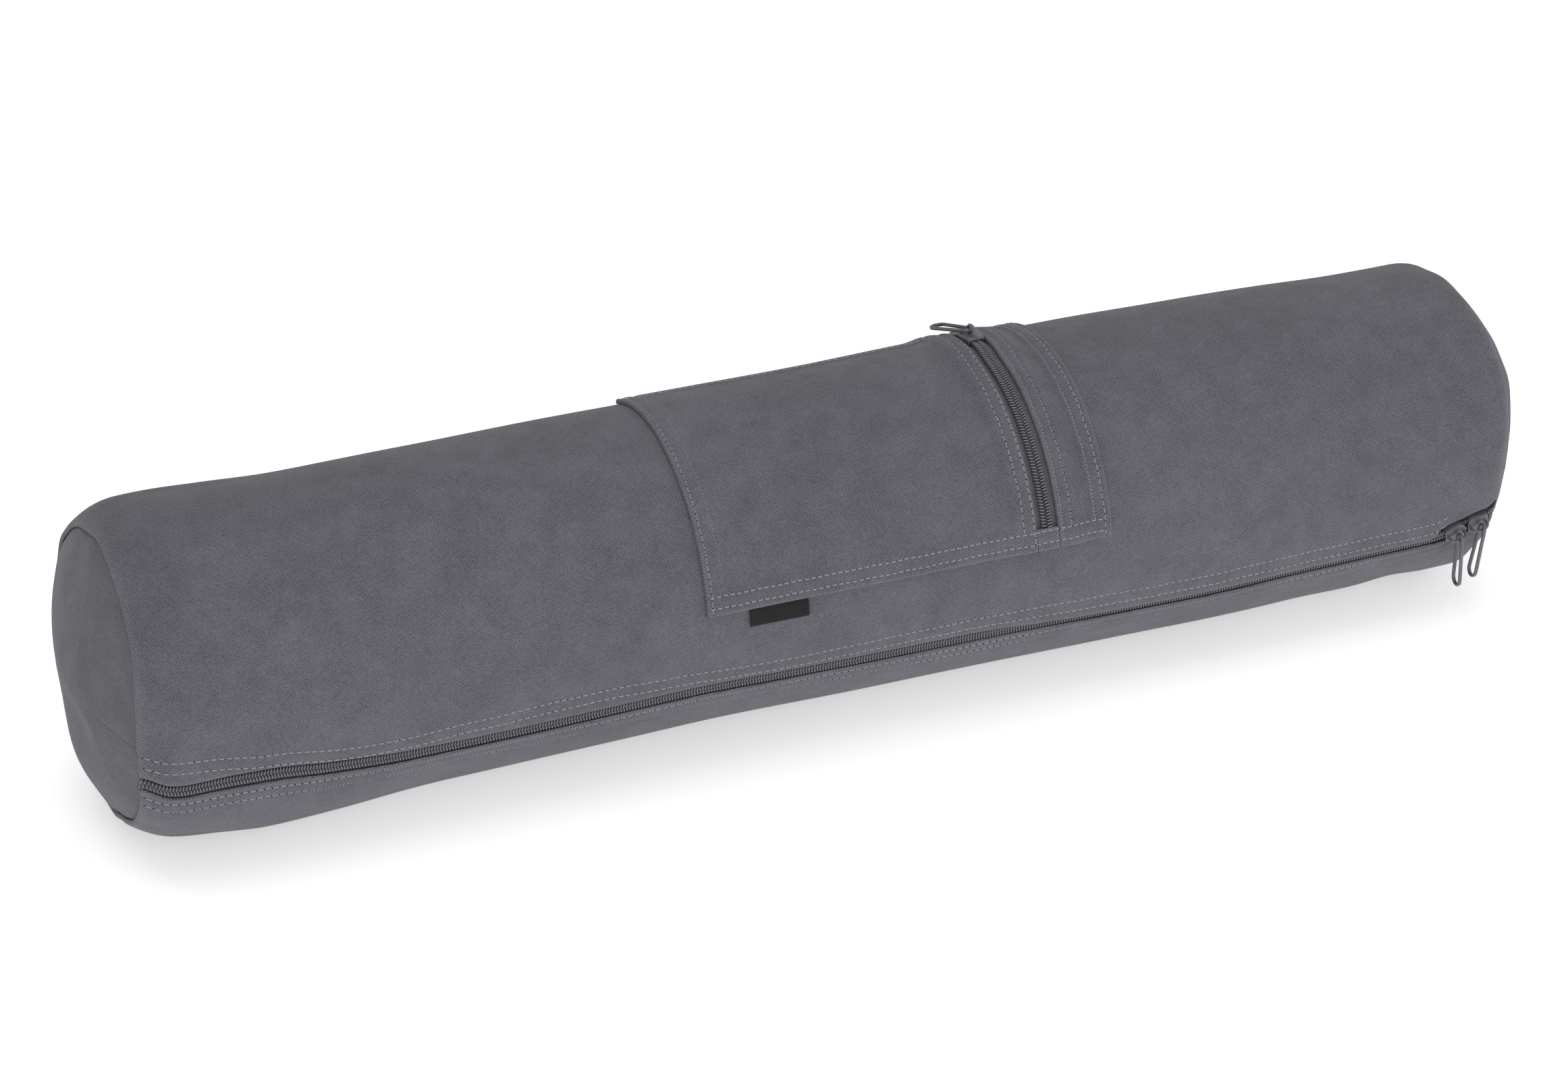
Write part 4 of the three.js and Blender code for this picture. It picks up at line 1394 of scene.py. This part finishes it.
@dataclass
class LongZip:
    """The long zip: two woven tapes, two coil rows, and the slider places that part them."""

    form: BagForm
    finishes: Finishes
    coil: CoilMaker = CoilMaker()
    tape: float = 1 * MM
    across: tuple = in_mm(0, 0.3, 1, 2, 3, 3.6, 4.2, 5, 6, 7.5, 9, 11, 12.6, 13)
    stations: int = 330
    end_clear: float = -0.4 * MM
    slider: SliderSize = SliderSize()
    slider_spacing: float = 11.6 * MM
    slider_from_seam: float = 12.4 * MM

    def spread(self, x: Array) -> Array:
        """How far each coil row stands off the zip's middle: full between the sliders' posts.

        Args:
            x: Places along the bag.

        Returns:
            The distances.
        """
        form = self.form
        right = form.half - self.slider_from_seam
        noses = right - self.slider_spacing * cos(form.rise_slope) / 2
        between = self.slider_spacing - self.slider.length
        return self.slider.part(np.abs(x - noses) / cos(form.rise_slope) - between / 2, form.gap)

    def build(self) -> None:
        """Makes both tapes and both coil rows."""
        form, coil = self.form, self.coil
        first, last = -form.half + self.end_clear, form.half - self.end_clear
        for name, side in (("upper", 1), ("lower", -1)):

            def on_row(along: Array, across: Array, depth: Array, side: int = side) -> Array:
                """A point of the coil row.

                Args:
                    along: Places along the bag.
                    across: Distances from the row's inner edge.
                    depth: Depths under its crown.
                    side: 1 above the zip's middle and -1 below it.

                Returns:
                    The points.
                """
                distance = form.gap / 2 + self.spread(along) + across
                return form.point(along, form.beside_zip(along, side * distance), -depth)

            surface = Surface()
            coil.add(surface, on_row, first, last, 0.0 if side > 0 else 0.5)
            finishes = [self.finishes.coil, self.finishes.cord]
            stands_for = (f"main_zip_coil_{name}",)
            surface.build(f"long_coil_{name}", finishes, "root", "zip_coil", stands_for)
            self._build_tape(name, side, first, last)

    def _build_tape(self, name: str, side: int, first: float, last: float) -> None:
        """Makes one tape as a wall under its coil row.

        Args:
            name: The tape's name, upper or lower.
            side: 1 above the zip's middle and -1 below it.
            first: Where it starts.
            last: Where it ends.
        """
        form = self.form
        x = np.linspace(first, last, self.stations)[:, None]
        width = np.array(self.across)[None]
        distance = np.maximum(form.gap / 2 + self.spread(x), width)
        angle = form.beside_zip(x, side * distance)
        top = -self.coil.thick - form.gap
        cloth = np.stack(np.broadcast_arrays(x + 0 * angle, distance + 0 * angle), -1)
        surface = Surface()
        surface.wall(form.point(x, angle, top), form.point(x, angle, top - self.tape), cloth)
        stands_for = (f"main_zip_tape_{name}",)
        surface.build(f"long_tape_{name}", [self.finishes.tape], "root", "zip_tape", stands_for)


@dataclass
class Pocket:
    """The flat pocket: a panel, a band and a hem tab round a short zip, sewn on with two rows."""

    form: BagForm
    finishes: Finishes
    left: float = -76 * MM
    width: float = 197 * MM
    foot: float = 12.5 * MM
    height: float = 142 * MM
    zip_from_right: float = 32.5 * MM
    slot_half: float = 5.4 * MM
    hem: float = 10 * MM
    tape: float = 1 * MM
    tape_width: float = 11 * MM
    slider_from_top: float = 29 * MM
    slider: SliderSize = SliderSize()
    slider_bed: float = 1.6 * MM
    folded: float = 2.4 * MM
    single: float = 1.5 * MM
    fold_slope: float = 12 * MM
    hem_width: float = 10 * MM
    edge_rounding: float = 0.9 * MM
    pinch_depth: float = 0.42 * MM
    pinch_reach: float = 0.8 * MM
    puff: float = 0.5 * MM
    puff_reach: float = 42 * MM
    ripple: float = 0.14 * MM
    ripple_reach: float = 30 * MM
    thinnest: float = 0.3 * MM
    edge_wear: float = 0.9
    edge_wear_reach: float = 0.9 * MM
    row_end: float = 1 * MM
    wide_from: float = 60 * MM
    tall_from: float = 40 * MM
    coil: CoilMaker = CoilMaker()
    stitches: Stitching = Stitching(pitch=3.2 * MM)
    edge: tuple = in_mm(0, 0.12, 0.35, 0.8, 1.5, 2.4, 3.4, 4.6, 6.0, 7.4, 8.6, 9.8, 11.2, 13)
    short_edge: tuple = in_mm(0, 0.12, 0.35, 0.8, 1.5, 2.4)

    @property
    def right(self) -> float:
        """The right edge's place."""
        return self.left + self.width

    @property
    def zip_x(self) -> float:
        """The zip's place along the bag."""
        return self.right - self.zip_from_right

    @property
    def slider_height(self) -> float:
        """The slider's height above the pocket's foot."""
        return self.height - self.slider_from_top

    def angle(self, height: Array) -> Array:
        """A height above the pocket's foot, as an angle round the bag."""
        return (self.foot + height) / self.form.radius

    def lift(self, height: Array) -> Array:
        """How far the zip is raised where its slider's lower plate lies under it."""
        away = np.abs(height - self.slider_height)
        return self.slider_bed * (1 - ease(away, self.slider.length * 0.65, self.slider.length * 1.9))

    def spread(self, height: Array) -> Array:
        """How far the rows part: inside the slider, and all the way above it."""
        from_nose = self.slider_height + self.slider.length / 2 - height
        return self.slider.part(from_nose, self.form.gap)

    def stand(self, x: Array, height: Array) -> Array:
        """How far the cloth's underside stands off the bag: close, or over the tape by the zip.

        Args:
            x: Places along the bag.
            height: Heights above the pocket's foot.

        Returns:
            The distances, outwards.
        """
        gap = self.form.gap
        from_zip = np.abs(x - self.zip_x)
        over = 1 - ease(from_zip, self.tape_width + gap, self.tape_width + self.fold_slope)
        return 0.5 * gap + (self.tape + 1.5 * gap) * over + self.lift(height) * over

    def thickness(self, x: Array, height: Array, x_low: float, x_high: float) -> Array:
        """The cloth's thickness: double in its hems, single between them.

        Args:
            x: Places along the bag.
            height: Heights above the pocket's foot.
            x_low: The piece's left edge.
            x_high: Its right edge.

        Returns:
            The thicknesses.
        """
        from_edge = inset(x, x_low, x_high, height, self.height)
        hem = 1 - ease(from_edge, self.hem_width - 0.6 * MM, self.hem_width + 0.8 * MM)
        return self.single + (self.folded - self.single) * hem

    def top(self, x: Array, height: Array, x_low: float, x_high: float) -> Array:
        """The cloth's outer face: its stand, its thickness, rounded edges and slight puffs.

        Args:
            x: Places along the bag.
            height: Heights above the pocket's foot.
            x_low: The piece's left edge.
            x_high: Its right edge.

        Returns:
            The distances from the bag's face, outwards.
        """
        from_edge = inset(x, x_low, x_high, height, self.height)
        short = np.clip(self.edge_rounding - from_edge, 0, self.edge_rounding)
        rounding = self.edge_rounding - np.sqrt(self.edge_rounding**2 - short**2)
        puff = self.puff * ease(from_edge, self.hem_width, self.puff_reach) * (x < self.zip_x)
        wave = self.ripple * np.sin(x * 410 + height * 90) * np.sin(height * 260 + 0.4)
        wave = wave * ease(from_edge, 0, self.ripple_reach)
        thick = self.thickness(x, height, x_low, x_high)
        return self.stand(x, height) + thick - rounding + puff + wave

    def rows(self) -> tuple:
        """Each stitch row: whether it runs round the bag, its place, its start and its end.

        Returns:
            The rows, one tuple for each.
        """
        zip_x, right, clear = self.zip_x, self.right, self.row_end
        top = self.height - clear
        return (
            StitchRow(True, self.left + 2.6 * MM, clear, top),
            StitchRow(True, self.left + 8.2 * MM, 8.6 * MM, top),
            StitchRow(True, zip_x - 11.5 * MM, 8.6 * MM, top),
            StitchRow(True, zip_x - 6.6 * MM, 3.4 * MM, top),
            StitchRow(True, zip_x + 7.4 * MM, 3.4 * MM, top),
            StitchRow(True, zip_x + 12.0 * MM, 8.6 * MM, top),
            StitchRow(True, right - 8.1 * MM, 8.6 * MM, top),
            StitchRow(True, right - 3.2 * MM, clear, top),
            StitchRow(False, 3.4 * MM, self.left + clear, right - clear),
            StitchRow(False, 8.6 * MM, self.left + clear, right - clear),
            StitchRow(False, self.height - 3.2 * MM, self.left + clear, right - clear),
            StitchRow(False, self.height - 8.4 * MM, self.left + clear, right - clear),
        )

    def pinch(self, x: Array, height: Array) -> Array:
        """How far the stitch rows draw the cloth in: a narrow bell at each of them.

        Args:
            x: Places along the bag.
            height: Heights above the pocket's foot.

        Returns:
            The depths.
        """
        total = np.zeros(np.broadcast(x, height).shape)
        for goes_round, where, start, end in self.rows():
            across = (x if goes_round else height) - where
            along = height if goes_round else x
            inside = (along > start - self.row_end) & (along < end + self.row_end)
            total = np.maximum(total, self.pinch_depth * bump(across, self.pinch_reach) * inside)
        return total

    def cloth_piece(self, name: str, node: str, x_low: float, x_high: float, top_height: float) -> None:
        """Makes one flat piece of the pocket as a wall with rounded, folded edges.

        Args:
            name: The piece's name.
            node: The node that it replaces.
            x_low: The piece's left edge.
            x_high: Its right edge.
            top_height: Its height.
        """
        form = self.form
        wide = x_high - x_low > self.wide_from
        tall = top_height > self.tall_from
        edge = self.edge if wide else self.short_edge
        x = (x_low + graded(x_high - x_low, edge, 1.9 * MM if wide else 0.9 * MM))[None]
        ends = self.edge if tall else self.short_edge
        height = graded(top_height, ends, 1.5 * MM if tall else 0.8 * MM)[:, None]
        x, height = np.broadcast_arrays(x, height)
        angle = self.angle(height)
        outer = self.top(x, height, x_low, x_high) - self.pinch(x, height)
        inner = np.minimum(self.stand(x, height), outer - self.thinnest)
        cloth = np.stack([height, x], -1)
        from_edge = inset(x, x_low, x_high, height, top_height)
        wear = self.edge_wear * bump(from_edge, self.edge_wear_reach)
        surface = Surface()
        surface.wall(form.point(x, angle, outer), form.point(x, angle, inner), cloth, wear)
        surface.build(name, [self.finishes.canvas], "root", "canvas", (node,))

    def build(self) -> None:
        """Makes the pocket's cloth, its zip and its stitches."""
        gap = self.form.gap
        seat = 0.1 * gap
        zip_low, zip_high = self.zip_x - self.slot_half, self.zip_x + self.slot_half
        pieces = (
            ("pocket_cloth", "pocket_panel", self.left, zip_low, self.height),
            ("pocket_side_band", "pocket_band", zip_high, self.right, self.height),
            ("pocket_hem_over_zip", "pocket_hem_tab", zip_low + seat, zip_high - seat, self.hem - gap),
        )
        for piece in pieces:
            self.cloth_piece(*piece)
        for name, side in (("left", -1), ("right", 1)):
            self._build_row(name, side)
        self._build_stitches()

    def _build_row(self, name: str, side: int) -> None:
        """Makes one tape and one coil row of the pocket's zip.

        Args:
            name: The row's name, left or right.
            side: 1 to the right of the zip's middle and -1 to the left.
        """
        form, coil = self.form, self.coil
        tape_top = form.gap + self.tape
        crown = tape_top + form.gap + coil.thick

        def on_row(along: Array, across: Array, depth: Array) -> Array:
            """A point of the coil row.

            Args:
                along: Heights above the pocket's foot.
                across: Distances from the row's inner edge.
                depth: Depths under its crown.

            Returns:
                The points.
            """
            distance = form.gap / 2 + self.spread(along) + across
            offset = crown + self.lift(along) - depth
            return form.point(self.zip_x + side * distance, self.angle(along), offset)

        surface = Surface()
        coil.add(surface, on_row, self.hem, self.height - form.gap, 0.0 if side > 0 else 0.5)
        finishes = [self.finishes.coil, self.finishes.cord]
        stands_for = (f"pocket_zip_coil_{name}",)
        surface.build(f"pocket_coil_{name}", finishes, "root", "zip_coil", stands_for)
        height = np.linspace(form.gap, self.height - form.gap, 110)[:, None]
        width = np.linspace(0, self.tape_width, 16)[None]
        distance = np.maximum(form.gap / 2 + self.spread(height), width)
        x = self.zip_x + side * distance
        angle = self.angle(height) + 0 * x
        lift = self.lift(height)
        cloth = np.stack(np.broadcast_arrays(height + 0 * x, x), -1)
        tape = Surface()
        tape.wall(form.point(x, angle, tape_top + lift), form.point(x, angle, form.gap + lift), cloth)
        stands_for = (f"pocket_zip_tape_{name}",)
        tape.build(f"pocket_tape_{name}", [self.finishes.tape], "root", "zip_tape", stands_for)

    def _build_stitches(self) -> None:
        """Makes every stitch row of the pocket."""
        zip_low, zip_high = self.zip_x - self.slot_half, self.zip_x + self.slot_half
        surface = Surface()

        def face(x: Array, height: Array) -> Array:
            """A point of the pocket's outer face, whichever piece it is on.

            Args:
                x: Places along the bag.
                height: Heights above the pocket's foot.

            Returns:
                The points.
            """
            low = np.where(x < zip_low, self.left, np.where(x > zip_high, zip_high, zip_low))
            high = np.where(x < zip_low, zip_low, np.where(x > zip_high, self.right, zip_high))
            offset = self.top(x, height, low, high) - self.pinch(x, height)
            return self.form.point(x, self.angle(height), offset)

        def round_bag(u: Array, v: Array) -> Array:
            """A point at a height u and a place v along the bag."""
            return face(v, u)

        for goes_round, where, start, end in self.rows():
            if goes_round:
                self.stitches.row(surface, round_bag, start, end, where)
            else:
                stretches = ((start, end),)
                if where > self.hem:
                    stretches = ((start, zip_low - self.row_end), (zip_high + self.row_end, end))
                for low, high in stretches:
                    self.stitches.row(surface, face, low, high, where)
        surface.build("pocket_stitching", [self.finishes.thread, self.finishes.hole], "root", "canvas")


@dataclass
class BlankLabel:
    """A folded black ribbon without lettering, caught under the pocket's foot."""

    pocket: Pocket
    left: float = -56 * MM
    width: float = 28 * MM
    height: float = 8.8 * MM
    thick: float = 1 * MM
    bow: float = 0.35 * MM
    caught: float = 0.4 * MM
    columns: int = 45
    points_round: int = 48

    def build(self) -> None:
        """Makes the ribbon: two layers that meet in a round fold, a closed loop in section."""
        form = self.pocket.form
        turn = np.linspace(0, 2 * pi, self.points_round + 1)[:-1]
        squeeze = squared_off(np.cos(turn), 0.35)
        drop = -form.gap - self.height / 2 * (1 + squeeze) + self.caught
        rise = form.gap + self.thick / 2 * (1 + squared_off(np.sin(turn), 0.8))
        x = np.linspace(self.left, self.left + self.width, self.columns)
        share = (x - self.left) / self.width
        height = np.broadcast_to(drop[None], (len(x), len(turn)))
        lift = rise[None] + self.bow * (-height / self.height) ** 2 * (1 + share[:, None])
        points = form.point(x[:, None], self.pocket.angle(height), lift)
        cloth = np.stack(np.broadcast_arrays(height, x[:, None] + 0 * height), -1)
        surface = Surface()
        surface.tubes(points[None], cloth=cloth)
        surface.build("blank_label", [self.pocket.finishes.ribbon], "root", "label_ribbon", ("label",))


@dataclass
class RingPull:
    """A ring pull: a rounded bar bent into a long loop, narrower at its eye."""

    finishes: Finishes
    node: str
    body: str
    length: float = 28 * MM
    eye: float = 3.2 * MM
    end: float = 4.2 * MM
    rim: float = 1.5 * MM
    thick: float = 1.75 * MM
    sides: int = 16
    roundness: float = 0.75
    end_points: int = 29
    eye_points: int = 23
    straight_points: int = 12
    tip_reach: float = 3 * MM

    def frame(self) -> tuple[Array, Array, Array, Array]:
        """The eye's middle, the way along the pull, the way across it and its flat side.

        These are read from the spread of the frame's own piece: it is longest along and
        thinnest through, and narrower at its eye.

        Returns:
            The point and the three unit directions.
        """
        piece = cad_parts[self.node]
        count = len(piece.data.vertices)
        flat = np.empty(count * 3)
        piece.data.vertices.foreach_get("co", flat)
        turn = np.array(piece.matrix_world)
        points = flat.reshape(-1, 3) @ turn[:3, :3].T + turn[:3, 3]
        middle = (points.max(0) + points.min(0)) / 2
        _, ways = np.linalg.eigh(np.cov((points - middle).T))
        through, across, along = ways[:, 0], ways[:, 1], ways[:, 2]
        places = (points - middle) @ ways
        centre = (places.max(0) + places.min(0)) / 2
        middle = middle + ways @ centre
        places = places - centre
        reach = places[:, 2].max() - self.tip_reach
        tip = np.abs(places[places[:, 2] > reach, 1]).max()
        tail = np.abs(places[places[:, 2] < -reach, 1]).max()
        along = along if tip > tail else -along
        return middle - along * (self.length / 2 - self.eye), along, across, through

    def build(self) -> None:
        """Makes the loop: two arcs and two straights, carried round by a rounded section."""
        origin, along, across, through = self.frame()
        far = self.length - self.eye - self.end
        lean = np.arcsin((self.end - self.eye) / far)
        end_turn = np.linspace(-pi / 2 - lean, pi / 2 + lean, self.end_points)
        eye_turn = np.linspace(pi / 2 + lean, 3 * pi / 2 - lean, self.eye_points)
        end_arc = np.stack([np.cos(end_turn), np.sin(end_turn)], -1) * (self.end - self.rim / 2)
        end_arc[:, 0] += far
        eye_arc = np.stack([np.cos(eye_turn), np.sin(eye_turn)], -1) * (self.eye - self.rim / 2)
        share = np.linspace(0, 1, self.straight_points + 2)[1:-1, None]
        there = end_arc[-1] + (eye_arc[0] - end_arc[-1]) * share
        back = eye_arc[-1] + (end_arc[0] - eye_arc[-1]) * share
        loop = np.concatenate([end_arc, there, eye_arc, back])
        path = origin + loop[:, :1] * along + loop[:, 1:] * across
        tangent = unit(np.roll(path, -1, 0) - np.roll(path, 1, 0))
        side = np.cross(through, tangent)
        turn = np.arange(self.sides) * 2 * pi / self.sides
        flat = self.rim / 2 * squared_off(np.cos(turn), self.roundness)
        section = np.stack([flat, self.thick / 2 * squared_off(np.sin(turn), self.roundness)], -1)
        surface = Surface()
        up = np.broadcast_to(through, side.shape)
        surface.tubes(sweep(path[None], side[None], up[None], section), closed=True)
        surface.build(f"{self.node}_ring", [self.finishes.metal], self.body, "zip_metal", (self.node,))


@dataclass
class Slider:
    """A slider of the frame with its edges rounded and its enamel on."""

    finishes: Finishes
    node: str
    rounding: float = 0.28 * MM
    flat: float = radians(4)
    sharp: float = radians(35)
    shaded_sharp: float = radians(38)

    def build(self) -> None:
        """Copies the frame's mesh, joins its flat faces, rounds the edges and rides it."""
        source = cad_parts[self.node]
        mesh = source.data.copy()
        mesh.transform(source.matrix_world)
        work = bmesh.new()
        work.from_mesh(mesh)
        bmesh.ops.remove_doubles(work, verts=work.verts, dist=SAME_PLACE)
        bmesh.ops.dissolve_limit(work, angle_limit=self.flat, verts=work.verts, edges=work.edges)
        joined = [edge for edge in work.edges if edge.is_manifold]
        sharp = [edge for edge in joined if edge.calc_face_angle() > self.sharp]
        bmesh.ops.bevel(
            work,
            geom=sharp,
            offset=self.rounding,
            segments=2,
            profile=0.5,
            affect="EDGES",
            clamp_overlap=True,
        )
        bmesh.ops.triangulate(work, faces=work.faces)
        work.to_mesh(mesh)
        work.free()
        mesh.shade_smooth()
        mesh.set_sharp_from_angle(angle=self.shaded_sharp)
        mesh.materials.clear()
        mesh.materials.append(self.finishes.metal)
        piece = bpy.data.objects.new(f"{self.node}_body", mesh)
        bpy.context.scene.collection.objects.link(piece)
        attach(piece, "root")
        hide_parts(self.node)
        LOG.info("%s: %d triangles on root", piece.name, len(mesh.polygons))


@dataclass(frozen=True)
class Studio:
    """A white floor, soft lights and the camera."""

    turn: float = radians(22.8)
    rise: float = radians(28.6)
    distance: float = 1900 * MM
    target: tuple = (-8.5 * MM, 0.0, 72.4 * MM)
    lens: float = 95.1
    sensor: float = 36.0
    floor_size: float = 12.0
    room_light: float = 0.5
    lights: tuple = (
        SoftBox("high_soft_box", (-0.1, 0.3, 2.6), 2.6, 26.0),
        SoftBox("front_soft_box", (-0.3, -2.6, 0.9), 2.2, 26.0),
        SoftBox("right_soft_box", (2.4, -0.9, 1.0), 1.6, 8.0),
    )

    def build(self) -> None:
        """Makes the floor, the lights and the camera."""
        scene = bpy.context.scene
        mesh = bpy.data.meshes.new("floor")
        half = self.floor_size / 2
        corners = [(-half, -half, 0), (half, -half, 0), (half, half, 0), (-half, half, 0)]
        mesh.from_pydata(corners, [], [(0, 1, 2, 3)])
        mesh.materials.append(FloorFinish().build())
        floor = bpy.data.objects.new("floor", mesh)
        scene.collection.objects.link(floor)
        for box in self.lights:
            self._add_light(box)
        world = bpy.data.worlds.new("pale_room")
        world.use_nodes = True
        sky = world.node_tree.nodes["Background"].inputs
        sky["Color"].default_value = (1.0, 1.0, 1.0, 1.0)
        sky["Strength"].default_value = self.room_light
        scene.world = world
        scene.view_settings.view_transform = "Standard"
        self._add_camera(scene)

    def _add_light(self, box: SoftBox) -> None:
        """Adds a square soft light that faces the bag.

        Args:
            box: What the light is like and where it hangs.
        """
        data = bpy.data.lights.new(box.name, "AREA")
        data.shape, data.size, data.energy = "SQUARE", box.size, box.power
        lamp = bpy.data.objects.new(box.name, data)
        lamp.location = box.place
        lamp.rotation_euler = (-Vector(box.place)).to_track_quat("-Z", "Y").to_euler()
        bpy.context.scene.collection.objects.link(lamp)

    def _add_camera(self, scene: bpy.types.Scene) -> None:
        """Adds the camera: turned to the left of the front, and risen over the floor.

        Args:
            scene: The scene that it is added to.
        """
        flat = cos(self.rise)
        back = Vector((-sin(self.turn) * flat, -cos(self.turn) * flat, sin(self.rise)))
        data = bpy.data.cameras.new("camera")
        data.sensor_width, data.lens = self.sensor, self.lens
        data.clip_start, data.clip_end = 0.05, 50.0
        camera = bpy.data.objects.new("camera", data)
        camera.location = Vector(self.target) + back * self.distance
        camera.rotation_euler = (-back).to_track_quat("-Z", "Y").to_euler()
        scene.collection.objects.link(camera)
        scene.camera = camera


def main() -> None:
    """Builds every sub-assembly in order."""
    logging.basicConfig(level=logging.INFO, format="%(message)s")
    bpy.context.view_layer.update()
    Studio().build()
    form, finishes = BagForm(), Finishes.build()
    CanvasTube(form, finishes).build()
    for side in (-1, 1):
        EndPanel(form, finishes, side).build()
    LongZip(form, finishes).build()
    pocket = Pocket(form, finishes)
    pocket.build()
    BlankLabel(pocket).build()
    for node in ("main_slider_left", "main_slider_right", "pocket_slider"):
        Slider(finishes, node).build()
    pulls = {
        "main_pull_left": "left_pull",
        "main_pull_right": "right_pull",
        "pocket_pull": "pocket_ring",
    }
    for node, body in pulls.items():
        RingPull(finishes, node, body).build()


if __name__ == "__main__":
    main()
